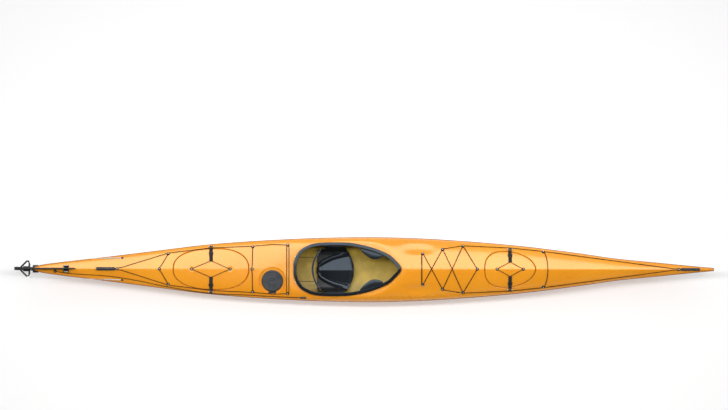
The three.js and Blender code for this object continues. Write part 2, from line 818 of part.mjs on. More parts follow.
function addOvalHatch(label, hatch) {
  const { centreX, length, width } = hatch;
  const outline = (inset) => hatchOutline(hatch, -inset);
  const aftLevel = deckTop(centreX - length / 2, width / 2);
  const foreLevel = deckTop(centreX + length / 2, width / 2);
  const seat = (x) => aftLevel + ((foreLevel - aftLevel) * (x - centreX + length / 2)) / length - rimDepth;
  const onSeat = (lift) => (x) => seat(x) + lift;
  const ledge = rimWall + ledgeWidth;
  const rim = rimLoop(outline, [
    [0, deckTop],
    [rimWall, deckTop],
    [rimWall, onSeat(ledgeThickness)],
    [ledge, onSeat(ledgeThickness)],
    [ledge, onSeat(0)],
    [0, onSeat(0)],
  ]);
  addPiece(label + "_hatch_rim", materials.deck, rim);

  const gasketFoot = ledgeThickness + fit;
  const gasketTop = gasketFoot + gasketThickness;
  const edge = rimWall + hatchGroove;
  const gasket = rimLoop(outline, [
    [edge + gasketInset, onSeat(gasketFoot)],
    [edge + gasketInset, onSeat(gasketTop)],
    [edge + gasketInset + gasketWidth, onSeat(gasketTop)],
    [edge + gasketInset + gasketWidth, onSeat(gasketFoot)],
  ]);
  addPiece(label + "_hatch_gasket", materials.rubber, gasket);

  const skirtShare = 1 - skirtWidth / (width / 2 - edge);
  const crown = (x, y) => deckTop(x, y) - coverInset;
  const under = (x, y) => crown(x, y) - coverPlate;
  const skirt = onSeat(gasketTop + fit);
  const middle = (level) => new THREE.Vector3(centreX, 0, level(centreX, 0));
  let cover = lid(outline(edge), [
    { share: coverRings[0], level: crown },
    { share: coverRings[1], level: crown },
    { share: 1, level: crown },
    { share: 1, level: skirt },
    { share: skirtShare, level: skirt },
    { share: skirtShare, level: under },
    { share: coverRings[0], level: under },
  ], middle(crown), middle(under));

  const hingeY = width / 2 + strapHingeInset;
  const splitY = (strapReachShare * width) / 2;
  const endY = (strapEndShare * width) / 2;
  const cordX = (coverCordEndShare * length) / 2;
  const lift = restOf(coverCordDiameter);
  const knot = knotInset / 2;
  const corners = [
    [centreX - cordX + knot, knot], [centreX, endY], [centreX + cordX, 0],
    [centreX, -endY], [centreX - cordX + knot, -knot],
  ];
  const route = [];
  corners.slice(1).forEach(([x, y], i) => {
    const [fromX, fromY] = corners[i];
    for (let k = i === 0 ? 0 : 1; k <= harnessSteps; k++) {
      const t = k / harnessSteps;
      route.push(onDeck(fromX + (x - fromX) * t, fromY + (y - fromY) * t, lift));
    }
  });
  const harnessCord = cord(route, coverCordDiameter);
  let harness = harnessCord;
  for (const side of [1, -1]) {
    const strapRing = (y, height) => webRing(centreX, side * y, webWidth / 2, 0, height);
    const loopHeight = lift + coverCordDiameter;
    const inner = [
      strapRing(endY - coverCordDiameter, loopHeight),
      strapRing(endY + coverCordDiameter, loopHeight),
      strapRing(endY + 2 * coverCordDiameter, webThickness),
      strapRing(splitY - strapSplit, webThickness),
    ];
    harness = harness.add(toSolid(loft(inner)));
    const strap = hatchStrap(centreX, hingeY, width / 2 - edge, splitY, side);
    addPiece(label + "_hatch_strap_" + (side > 0 ? "port" : "starboard"), materials.webbing, strap);
  }
  const tunnel = cord(route, coverCordDiameter + 2 * tunnelGap, tunnelSides);
  for (const x of [centreX - cordX, centreX + cordX]) cover = cover.add(fitting(x, 0, crown));
  addPiece(label + "_hatch_cover", materials.deck, cover.subtract(tunnel));
  addPiece(label + "_hatch_harness", materials.webbing, harness);
  const anchors = [1, -1].map((side) => {
    const y = side * (hingeY + anchorGap + anchorLength / 2);
    const level = deckTop(centreX, hingeY);
    const rise = webRise + webThickness;
    const height = rise + 2 * wall;
    return box(webWidth, anchorLength, height, centreX, y, level + rise - height / 2);
  });
  return { cut: prism(outline(-fit), 0, sheerHeight + crownHeight + bowRise), anchors };
}

// The day hatch sits in a round recess that leans with the deck
function addDayHatch() {
  const centre = { x: xAt(dayHatchShare), y: -dayHatchOut };
  const inboard = deckTop(centre.x, centre.y + dayRecessRadius);
  const outboard = deckTop(centre.x, centre.y - dayRecessRadius);
  const lean = (inboard - outboard) / (2 * dayRecessRadius);
  const floor = (y) => (inboard + outboard) / 2 - dayRecessDepth + lean * (y - centre.y);
  const circle = (inset) => roundOutline(centre.x, centre.y, dayRecessRadius - inset);
  const neckOuter = dayRecessRadius - dayNeckRadius;
  const neckInner = neckOuter + rimWall;
  const section = [
    [0, "deck", 0],
    [rimWall, "deck", 0],
    [rimWall, "floor", 0],
    [neckOuter, "floor", 0],
    [neckOuter, "floor", dayNeckHeight],
    [neckInner, "floor", dayNeckHeight],
    [neckInner, "floor", -rimWall],
    [0, "floor", -rimWall],
  ];
  const columns = section.map(([inset]) => circle(inset));
  const rings = columns[0].map((_, i) =>
    section.map(([, from, lift], k) => {
      const { x, y } = columns[k][i];
      const deck = deckTop(columns[0][i].x, columns[0][i].y);
      return new THREE.Vector3(x, y, (from === "deck" ? deck : floor(y)) + lift);
    }),
  );
  addPiece("day_hatch_rim", materials.deck, toSolid(loft(rings, true)));

  const on = (lift) => (x, y) => floor(y) + lift;
  const innerShare = (dayNeckRadius + fit) / dayCoverRadius;
  const crownShare = 0.9;
  const edge = roundOutline(centre.x, centre.y, dayCoverRadius);
  const middle = (lift) => new THREE.Vector3(centre.x, centre.y, floor(centre.y) + lift);
  const cap = lid(edge, [
    { share: crownShare, level: on(dayCoverTop) },
    { share: 1, level: on(dayCoverTop - dayCoverSkin) },
    { share: 1, level: on(dayCoverSkirt) },
    { share: innerShare, level: on(dayCoverSkirt) },
    { share: innerShare, level: on(dayNeckHeight + fit) },
  ], middle(dayCoverTop), middle(dayNeckHeight + fit));
  const tabY = centre.y - dayCoverRadius;
  const tabStart = (dayNeckRadius + dayCoverRadius) / 2;
  const tabLevel = floor(tabY) + dayCoverSkirt + dayCoverSkin / 2;
  const tab = box(dayTabWidth, dayTabLength * 2, dayCoverSkin, centre.x, 0, 0)
    .rotate([THREE.MathUtils.radToDeg(Math.atan(lean)), 0, 0])
    .translate([0, tabY, tabLevel])
    .subtract(prism(roundOutline(centre.x, centre.y, tabStart), 0, sheerHeight + crownHeight));
  addPiece("day_hatch_cover", materials.rubber, cap.add(tab));
  return prism(circle(-fit), 0, sheerHeight + crownHeight);
}

const deckPlace = ([station, out], side = 1) => [xAt(station), side * out * halfBeamAt(station)];

// Points along the deck from one place to the next, a little above the skin
function along(from, to, lift, steps) {
  const points = [];
  for (let k = 0; k <= steps; k++) {
    const t = k / steps;
    points.push(onDeck(from[0] + (to[0] - from[0]) * t, from[1] + (to[1] - from[1]) * t, lift));
  }
  return points;
}

function through(places, lift) {
  const points = [];
  places.slice(1).forEach((place, i) => {
    const from = places[i];
    const length = Math.hypot(place[0] - from[0], place[1] - from[1]);
    const steps = Math.max(2, Math.round(length / lineSpan));
    points.push(...along(from, place, lift, steps).slice(i === 0 ? 0 : 1));
  });
  return points;
}

const toward = (place, other, distance) => {
  const length = Math.hypot(other[0] - place[0], other[1] - place[1]);
  return [
    place[0] + ((other[0] - place[0]) * distance) / length,
    place[1] + ((other[1] - place[1]) * distance) / length,
  ];
};

// A small turn of the cord around a fitting's post, between the fittings before and after it
function turnAround(before, at, after, radius, lift) {
  const unit = (a, b) => {
    const length = Math.hypot(b[0] - a[0], b[1] - a[1]);
    return [(b[0] - a[0]) / length, (b[1] - a[1]) / length];
  };
  const into = unit(at, before);
  const out = unit(at, after);
  const square = (line, other) => {
    const side = [-line[1], line[0]];
    return side[0] * other[0] + side[1] * other[1] < 0 ? side : [line[1], -line[0]];
  };
  const first = Math.atan2(square(into, out)[1], square(into, out)[0]);
  const last = Math.atan2(square(out, into)[1], square(out, into)[0]);
  const away = Math.atan2(-into[1] - out[1], -into[0] - out[0]);
  const wrap = (angle) => Math.atan2(Math.sin(angle), Math.cos(angle));
  const start = away + wrap(first - away);
  const end = away + wrap(last - away);
  const points = [];
  for (let k = 0; k <= turnSteps; k++) {
    const angle = start + ((end - start) * k) / turnSteps;
    points.push(onDeck(at[0] + radius * Math.cos(angle), at[1] + radius * Math.sin(angle), lift));
  }
  return points;
}

// Lifts the points of a cord that cross over another one near a place on the centreline
function crossOver(points, x, reach, height) {
  for (const point of points) {
    point.z += height * hump(Math.hypot(point.x - x, point.y) / reach);
  }
  return points;
}

function addDeckLines() {
  const sides = [1, -1];
  const sternEdgeStation = stationAt(rearHatchX - rearHatchLength / 2 - sternEdgeGap);
  const foreDeck = frontHatchX - frontHatchLength / 2 - cockpitEndX;
  const foreDeckAt = (share) => stationAt(cockpitEndX + share * foreDeck);
  const forePlaces = ([share, out]) => sides.map((side) => deckPlace([foreDeckAt(share), out], side));
  const sternEdge = sides.map((side) => deckPlace([sternEdgeStation, sternEdgeOutShare], side));
  const aftMiddle = sides.map((side) => deckPlace(aftMiddleShares, side));
  const cockpitSide = sides.map((side) => deckPlace(cockpitSideShares, side));
  const foreFirst = forePlaces(foreFirstShares);
  const foreSecond = forePlaces(foreSecondShares);
  const foreThird = forePlaces(foreThirdShares);
  const bowEdge = sides.map((side) => deckPlace(bowEdgeShares, side));
  const sternRidge = [rearHatchX - rearHatchLength / 2 - sternRidgeGap, 0];
  const hatchRidge = [xAt(hatchEdgeRidgeShare), 0];
  const foreRidge = [xAt(foreDeckAt(foreRidgeShare)), 0];
  const sternKnot = [xAt(sternToggleShare), 0];
  const bowKnot = [xAt(bowToggleShare), 0];
  const lineLift = restOf(lineDiameter);
  const bungeeLift = restOf(bungeeDiameter);

  const outboard = (place) => [place[0], place[1] + Math.sign(place[1]) * knotInset];
  const inboard = (place) => [place[0], place[1] - Math.sign(place[1]) * knotInset];

  const strapPass = (k) => [rearHatchX, (1 - 2 * k) * (rearHatchWidth / 2)];
  const tabOut = dayHatchOut + dayCoverRadius + dayTabLength + lineDiameter + tabClearance;
  const tabPass = (k) => [xAt(dayHatchShare), (1 - 2 * k) * tabOut];
  const halfStern = (k) => [
    toward(cockpitSide[k], tabPass(k), knotInset),
    tabPass(k),
    outboard(aftMiddle[k]),
    strapPass(k),
    outboard(sternEdge[k]),
  ];
  const anchorOut = strapHingeInset + anchorGap + anchorLength + lineDiameter;
  const anchorPass = (k) => [frontHatchX, (1 - 2 * k) * (frontHatchWidth / 2 + anchorOut)];
  const halfBow = (k) => [
    outboard(foreSecond[k]), outboard(foreThird[k]), anchorPass(k), outboard(bowEdge[k]),
  ];
  const lineOver = (half, knot) => {
    const port = half(0);
    const starboard = half(1);
    const into = through([...port, toward(knot, port[port.length - 1], turnRadius)], lineLift);
    starboard.reverse();
    const out = through([toward(knot, starboard[0], turnRadius), ...starboard], lineLift);
    const turn = turnAround(port[port.length - 1], knot, starboard[0], turnRadius, lineLift);
    return [...into.slice(0, -1), ...turn, ...out.slice(1)];
  };
  const routes = {
    stern_perimeter_line: [lineOver(halfStern, sternKnot), lineDiameter],
    bow_perimeter_line: [lineOver(halfBow, bowKnot), lineDiameter],
  };

  const vee = (ends, apex) => {
    const first = toward(ends[0], apex, knotInset);
    const last = toward(ends[1], apex, knotInset);
    const into = through([first, toward(apex, first, turnRadius)], bungeeLift);
    const turn = turnAround(ends[0], apex, ends[1], turnRadius, bungeeLift);
    const out = through([toward(apex, last, turnRadius), last], bungeeLift);
    return [...into.slice(0, -1), ...turn, ...out.slice(1)];
  };
  routes.stern_vee_bungee = [vee(sternEdge, sternRidge), bungeeDiameter];
  routes.aft_vee_bungee = [vee(aftMiddle, hatchRidge), bungeeDiameter];

  const crossSteps = 8;
  const runEnds = [inboard(cockpitSide[0])[1], inboard(cockpitSide[1])[1] + crossLoopRadius];
  const aftRun = (shift) => cockpitSide.map((place, k) => [place[0] + shift, runEnds[k]]);
  const near = aftRun(-crossLoopRadius);
  const far = aftRun(crossLoopRadius);
  const loopTop = [];
  for (let k = 1; k < turnSteps; k++) {
    const angle = Math.PI + (Math.PI * k) / turnSteps;
    const x = cockpitSide[1][0] + crossLoopRadius * Math.cos(angle);
    loopTop.push(onDeck(x, runEnds[1] + crossLoopRadius * Math.sin(angle), bungeeLift));
  }
  const nearRun = along(near[0], near[1], bungeeLift, crossSteps);
  const farRun = along(far[1], far[0], bungeeLift, crossSteps);
  routes.cockpit_bungee = [[...nearRun, ...loopTop, ...farRun], bungeeDiameter];

  const paddleEnds = foreFirst.map((place) => [place[0] - paddleLineDiameter, inboard(place)[1]]);
  const paddleLift = paddleLineDiameter / 2 + paddleLineRest;
  const paddleRun = along(paddleEnds[0], paddleEnds[1], paddleLift, crossSteps);
  routes.paddle_line = [paddleRun, paddleLineDiameter];

  const crossEnds = bowEdge.map((place) => inboard(place));
  const arcAt = (t) => Math.abs(Math.sin(Math.PI * t)) ** crossBungeeFullness;
  const bow = [];
  for (let k = 0; k <= crossSteps; k++) {
    const t = k / crossSteps;
    const y = crossEnds[0][1] + (crossEnds[1][1] - crossEnds[0][1]) * t;
    bow.push(onDeck(crossEnds[0][0] + crossBungeeBow * arcAt(t), y, bungeeLift));
  }
  routes.bow_bungee = [bow, bungeeDiameter];

  const posts = [
    foreFirst[0], foreSecond[1], foreThird[0], foreRidge, foreThird[1], foreSecond[0], foreFirst[1],
  ];
  const holds = posts.map((place, i) => (i === 3 ? place : inboard(place)));
  const zigzag = [];
  holds.slice(1).forEach((to, i) => {
    const from = holds[i];
    const start = i === 0 ? from : toward(from, to, turnRadius * 2);
    const isLast = i === holds.length - 2;
    const stop = isLast ? to : toward(to, from, turnRadius * 2);
    const crosses = start[1] * stop[1] < 0;
    const leg = [];
    if (crosses) {
      const t = start[1] / (start[1] - stop[1]);
      const middle = [start[0] + (stop[0] - start[0]) * t, 0];
      const reach = paddleLineDiameter * 4;
      leg.push(...along(start, toward(middle, start, reach), bungeeLift, 2));
      leg.push(onDeck(...middle, bungeeLift));
      leg.push(...along(toward(middle, stop, reach), stop, bungeeLift, 2));
      const isOver = i >= 3;
      if (isOver) crossOver(leg, middle[0], reach * 2, bungeeDiameter + restGap);
    } else {
      leg.push(...along(start, stop, bungeeLift, 2));
    }
    zigzag.push(...leg);
    if (!isLast) zigzag.push(...turnAround(from, to, holds[i + 2], turnRadius, bungeeLift));
  });
  routes.fore_zigzag_bungee = [zigzag, bungeeDiameter];

  const tunnels = [];
  for (const [name, [points, diameter]] of Object.entries(routes)) {
    addPiece(name, materials.cord, cord(points, diameter));
    tunnels.push(cord(points, diameter + 2 * tunnelGap, tunnelSides));
  }
  const places = [
    ...sternEdge, ...aftMiddle, ...cockpitSide, ...foreFirst, ...foreSecond, ...foreThird, ...bowEdge,
    sternRidge, hatchRidge, foreRidge, sternKnot, bowKnot,
  ];
  return { tunnels, fittings: places.map(([x, y]) => fitting(x, y)) };
}

// A ribbed grip lying on the centreline, away from its knot towards the end of the boat
function addToggle(name, share, direction, radius) {
  const knotX = xAt(share);
  const startX = knotX + direction * (fittingRadius + toggleGap);
  const endX = startX + direction * toggleLength;
  const level = (x) => deckTop(x, 0) + radius + toggleRest;
  const start = new THREE.Vector3(startX, 0, level(startX));
  const end = new THREE.Vector3(endX, 0, level(endX));
  const profile = [new THREE.Vector2(0, 0)];
  for (let k = 0; k <= toggleRibs * 2; k++) {
    const isWaist = k % 2 === 0;
    const out = isWaist ? radius - toggleRibDepth : radius;
    profile.push(new THREE.Vector2(out, (toggleLength * k) / (toggleRibs * 2)));
  }
  profile.push(new THREE.Vector2(0, toggleLength));
  const lathe = new THREE.LatheGeometry(profile, toggleSides);
  const turn = new THREE.Quaternion().setFromUnitVectors(
    new THREE.Vector3(0, 1, 0),
    end.clone().sub(start).normalize(),
  );
  lathe.applyQuaternion(turn).translate(start.x, start.y, start.z);
  addPiece(name, materials.rubber, toSolid(lathe));
}

// The port side of an outline that is drawn around the boat's centre, read at a place along the boat
function outlineHalfAt(points, x) {
  for (let i = 1; i < points.length; i++) {
    const [a, b] = [points[i - 1], points[i]];
    if ((a.x - x) * (b.x - x) <= 0 && a.x !== b.x && a.y + b.y > 0) {
      return a.y + ((b.y - a.y) * (x - a.x)) / (b.x - a.x);
    }
  }
  return 0;
}

// Half the inside width of the hull at a place and a height
function hullInsideAt(x, z) {
  const points = hullHalf(stationAt(x));
  for (let i = 1; i < points.length; i++) {
    const [a, b] = [points[i - 1], points[i]];
    if ((a[1] - z) * (b[1] - z) <= 0) return a[0] + ((b[0] - a[0]) * (z - a[1])) / (b[1] - a[1]) - wall;
  }
  return 0;
}

// A closed section across the boat, from an outer and an inner half, each from its edge to the middle
function trough(x, outer, inner) {
  const port = (half) => half.map(([y, z]) => new THREE.Vector3(x, y, z));
  const starboard = (half) => half.map(([y, z]) => new THREE.Vector3(x, -y, z));
  return [
    ...port(outer),
    ...starboard(outer.slice(0, -1)).reverse(),
    ...starboard(inner),
    ...port(inner.slice(0, -1)).reverse(),
  ];
}

function addSeat() {
  const aft = xAt(cockpitAftShare);
  const wallLine = coamingOutline(lipWidth - coamingWall / 2);
  const hangerTop = (x) => deckTop(x, 0) - coamingDepth - fit;
  const hangerOut = (x) => outlineHalfAt(wallLine, x) - seatHangerOut;
  const half = (x, rise, lift, isLiner) => {
    const low = seatHipHeight + seatRim;
    const rim = low + (hangerTop(x) - low) * rise;
    const out = seatPanHalfWidth + (hangerOut(x) - seatPanHalfWidth) * rise;
    const floor = seatFloorHeight + lift;
    const depth = seatHipHeight - floor;
    const shares = isLiner ? linerCurveShares : seatCurveShares;
    const lower = shares.map(([y, z]) => [seatPanHalfWidth * y, floor + depth * z]);
    return isLiner ? lower : [[out, rim], ...lower];
  };
  const skin = (curve, inset) => {
    const moved = insetHalf(curve, inset, -1);
    moved[moved.length - 1][0] = 0;
    return moved;
  };
  const pan = [];
  const liner = [];
  for (const [share, rise, liftShare] of seatStationShares) {
    const x = aft + seatAft + share * seatLength;
    const lift = liftShare * seatFrontLip;
    const curve = half(x, rise, lift, false);
    pan.push(trough(x, curve, skin(curve, seatShell)));
    const bed = half(x, rise, lift, true);
    const bottom = seatShell + linerRest;
    liner.push(trough(x, skin(bed, bottom), skin(bed, bottom + linerThickness)));
  }
  const plan = [{ x: aft, y: beam / 2 }, { x: aft, y: -beam / 2 }];
  for (let k = 0; k <= seatFrontSteps; k++) {
    const y = beam * (k / seatFrontSteps - 0.5);
    plan.push({ x: aft + seatAft + seatLength - seatFrontSweep * (y / seatPanHalfWidth) ** 2, y });
  }
  const planBody = prism(plan, 0, sheerHeight + crownHeight);
  const rounded = (rings) => toSolid(loft(rings, false, true)).intersect(planBody);
  addPiece("seat_pan", materials.plastic, rounded(pan));
  addPiece("seat_liner", materials.gloss, rounded(liner));
}

function addBackband() {
  const aft = xAt(cockpitAftShare);
  const middleX = aft + backbandBack;
  const band = (y) => middleX + backbandSweep * (y / backbandOut) ** 2;
  const rings = [];
  for (let k = 0; k <= backbandSteps; k++) {
    const y = -backbandOut + (2 * backbandOut * k) / backbandSteps;
    const x = band(y);
    const round = backbandThickness / 4;
    const low = backbandLevel;
    const high = low + backbandHeight;
    rings.push([
      new THREE.Vector3(x - backbandThickness / 2, y, low + round),
      new THREE.Vector3(x - round, y, low),
      new THREE.Vector3(x + round, y, low),
      new THREE.Vector3(x + backbandThickness / 2, y, low + round),
      new THREE.Vector3(x + backbandThickness / 2, y, high - round),
      new THREE.Vector3(x + round, y, high),
      new THREE.Vector3(x - round, y, high),
      new THREE.Vector3(x - backbandThickness / 2, y, high - round),
    ]);
  }
  let backband = toSolid(loft(rings));
  const armEnd = band(backbandOut) + backArmLength;
  const armStart = band(backbandOut) - backbandThickness / 4;
  for (const side of [1, -1]) {
    const y = side * (backbandOut - backArmThickness / 2);
    const length = armEnd - armStart;
    const arm = box(length, backArmThickness, backArmHeight, (armStart + armEnd) / 2, y, backArmLevel);
    backband = backband.add(arm);
  }
  addPiece("backband", materials.foam, backband);
  const wallX = aft + lipWidth;
  for (const side of [1, -1]) {
    const level = backbandLevel + backbandHeight * backBungeeRiseShare;
    const set = fit + backBungeeDiameter * backBungeeSetShare;
    const backX = band(backBungeeOut) - backbandThickness / 2 - set;
    const frontX = outlineAftAt(coamingOutline(lipWidth), backBungeeOut) + set;
    const start = new THREE.Vector3(frontX, side * backBungeeOut, deckTop(wallX, 0) - coamingDepth / 2);
    const end = new THREE.Vector3(backX, side * backBungeeOut, level);
    const middle = start.clone().lerp(end, 0.5);
    const label = side > 0 ? "port" : "starboard";
    addPiece("backband_bungee_" + label, materials.cord, cord([start, middle, end], backBungeeDiameter));
  }
}

// The aft side of an outline, read at a distance out from the centreline
function outlineAftAt(points, y) {
  let aftmost = Infinity;
  for (let i = 1; i < points.length; i++) {
    const [a, b] = [points[i - 1], points[i]];
    if ((a.y - y) * (b.y - y) <= 0 && a.y !== b.y) {
      aftmost = Math.min(aftmost, a.x + ((b.x - a.x) * (y - a.y)) / (b.y - a.y));
    }
  }
  return aftmost;
}

function addThighBraces() {
  const aft = xAt(cockpitAftShare) + braceStartShare * cockpitLength;
  const braceLength = braceLengthShare * cockpitLength;
  const inner = coamingOutline(lipWidth);
  for (const side of [1, -1]) {
    const plates = [];
    const pads = [];
    for (let k = 0; k <= braceSteps; k++) {
      const t = k / braceSteps;
      const x = aft + t * braceLength;
      const out = outlineHalfAt(inner, x) - fit;
      const reach = braceRoot + (braceReach - braceRoot) * Math.sin(Math.PI * t);
      const level = deckTop(x, 0) - braceDrop;
      const corner = (y, z) => new THREE.Vector3(x, side * y, z);
      plates.push([
        corner(out, level),
        corner(out, level + braceThickness),
        corner(out - reach, level + braceThickness),
        corner(out - reach, level),
      ]);
      const inside = level + braceThickness / 2;
      pads.push([
        corner(out - bracePadInset, level - bracePadThickness),
        corner(out - bracePadInset, inside),
        corner(out - reach + bracePadInset / 2, inside),
        corner(out - reach + bracePadInset / 2, level - bracePadThickness),
      ]);
    }
    const label = side > 0 ? "port" : "starboard";
    addPiece("thigh_brace_" + label, materials.gloss, toSolid(loft(plates)).add(toSolid(loft(pads))));
  }
}

// The line that a foot rail's inner face follows, on the port side
function railLine() {
  const start = xAt(frontBulkheadShare) - bulkheadThickness / 2 - railClearance - railLength;
  const faceAt = (x) => hullInsideAt(x, railLevel) - fit - railThickness;
  const from = new THREE.Vector3(start, faceAt(start), railLevel);
  const to = new THREE.Vector3(start + railLength, faceAt(start + railLength), railLevel);
  const heading = to.clone().sub(from).normalize();
  return { from, to, heading };
}

const mirrorSide = (point, side) => new THREE.Vector3(point.x, side * point.y, point.z);

function addFootControls() {
  const { from, to, heading } = railLine();
  const pedalSpace = hullBody(wall + pedalGap, overrun);
  const turn = THREE.MathUtils.radToDeg(Math.atan2(heading.y, heading.x));
  const place = from.clone().add(heading.clone().multiplyScalar(pedalRun));
  const behind = railThickness * 3;
  const rail = toSolid(loft([from, to].map((end) => [
    new THREE.Vector3(end.x, end.y, end.z - railHeight / 2),
    new THREE.Vector3(end.x, end.y + behind, end.z - railHeight / 2),
    new THREE.Vector3(end.x, end.y + behind, end.z + railHeight / 2),
    new THREE.Vector3(end.x, end.y, end.z + railHeight / 2),
  ])));
  const carriageY = -carriageGap - carriageThickness / 2;
  const carriageHeight = railHeight + 2 * pedalThickness;
  const carriage = box(carriageLength, carriageThickness, carriageHeight, 0, carriageY, 0);
  const plateY = -carriageGap - pedalWidth / 2;
  const plate = box(pedalThickness, pedalWidth, pedalHeight, 0, plateY, 0);
  const pedal = carriage.add(plate).rotate([0, 0, turn]).translate([place.x, place.y, place.z]);
  for (const side of [1, -1]) {
    const label = side > 0 ? "port" : "starboard";
    const facing = (solid) => (side > 0 ? solid : solid.mirror([0, 1, 0]));
    addPiece("foot_rail_" + label, materials.alloy, facing(rail).intersect(interior));
    addPiece("foot_pedal_" + label, materials.plastic, facing(pedal).intersect(pedalSpace));
  }
}

// Where a steering cable leaves its sleeve inside the boat, on the port side
function pedalCable() {
  const { from, heading } = railLine();
  const inset = carriageGap + carriageThickness / 2;
  const shift = new THREE.Vector3(heading.y * inset, -heading.x * inset, cableRise);
  const carriageBack = pedalRun - carriageLength / 2;
  const end = from.clone().add(heading.clone().multiplyScalar(carriageBack - fit)).add(shift);
  const mouth = from.clone().add(heading.clone().multiplyScalar(-sleeveStandoff)).add(shift);
  const start = mouth.clone().sub(heading.clone().multiplyScalar(cableInSleeve));
  return { start, mouth, end, heading };
}

// Where a steering cable runs from the yoke to its sleeve on the aft deck, on the port side
function sternCable() {
  const tipLevel = yokeLevel + yokeThickness + cableEyeGap + cableEyeHeight / 2;
  const tip = new THREE.Vector3(yawPinX() - yokeTipBack, yokeSpan / 2, tipLevel);
  const mouthX = xAt(sleeveMouthShare);
  const lift = sleeveDiameter / 2 + sleeveRest;
  const mouth = new THREE.Vector3(mouthX, sleeveMouthOut, deckTop(mouthX, sleeveMouthOut) + lift);
  const heading = mouth.clone().sub(tip).normalize();
  const end = mouth.clone().add(heading.clone().multiplyScalar(cableInSleeve));
  return { tip, mouth, end, heading };
}

const yawPinX = () => sternX - yawPinGap;

function addSteeringCables() {
  const stern = sternCable();
  const pedal = pedalCable();
  const straight = [0, 0.5, 1].map((share) => share * (sleeveBoreDepth + sleeveDiameter));
  const entryX = xAt(sleeveEntryShare);
  const route = [
    ...straight.map((run) => stern.mouth.clone().add(stern.heading.clone().multiplyScalar(run))),
    new THREE.Vector3(entryX, sleeveEntryOut, deckTop(entryX, sleeveEntryOut) - sleeveDiameter),
  ];
  for (const share of sleeveStationShares) {
    const out = halfBeamAt(share) - wall - sleeveInset;
    route.push(new THREE.Vector3(xAt(share), out, sheerAt(share) - sleeveSink));
  }
  const inner = straight.map((run) => pedal.mouth.clone().sub(pedal.heading.clone().multiplyScalar(run)));
  route.push(...inner.reverse());
  const passages = [];
  for (const side of [1, -1]) {
    const label = side > 0 ? "port" : "starboard";
    const facing = (points) => points.map((point) => mirrorSide(point, side));
    const bores = [[stern, 1], [pedal, -1]].map(([{ mouth, heading }, way]) =>
      [-1, sleeveBoreDepth].map((run) => mouth.clone().add(heading.clone().multiplyScalar(way * run))),
    );
    let sleeve = cord(facing(route), sleeveDiameter);
    for (const bore of bores) sleeve = sleeve.subtract(cord(facing(bore), sleeveBore));
    addPiece("cable_sleeve_" + label, materials.sleeve, sleeve);
    passages.push(cord(facing(route), sleeveDiameter + 2 * fit));
    const { x, y, z } = stern.tip;
    const eye = box(cableEyeLength, cableEyeWidth, cableEyeHeight, x, side * y, z);
    const aftCable = cord(facing([stern.tip, stern.end]), cableDiameter).add(eye);
    addPiece("rudder_cable_" + label, materials.steel, aftCable);
    addPiece("pedal_cable_" + label, materials.steel, cord(facing([pedal.start, pedal.end]), cableDiameter));
  }
  return passages;
}

// Works on a solid drawn about the yaw pin, moving it to the pin's place
const atYawPin = (solid) => solid.translate([yawPinX(), 0, 0]);

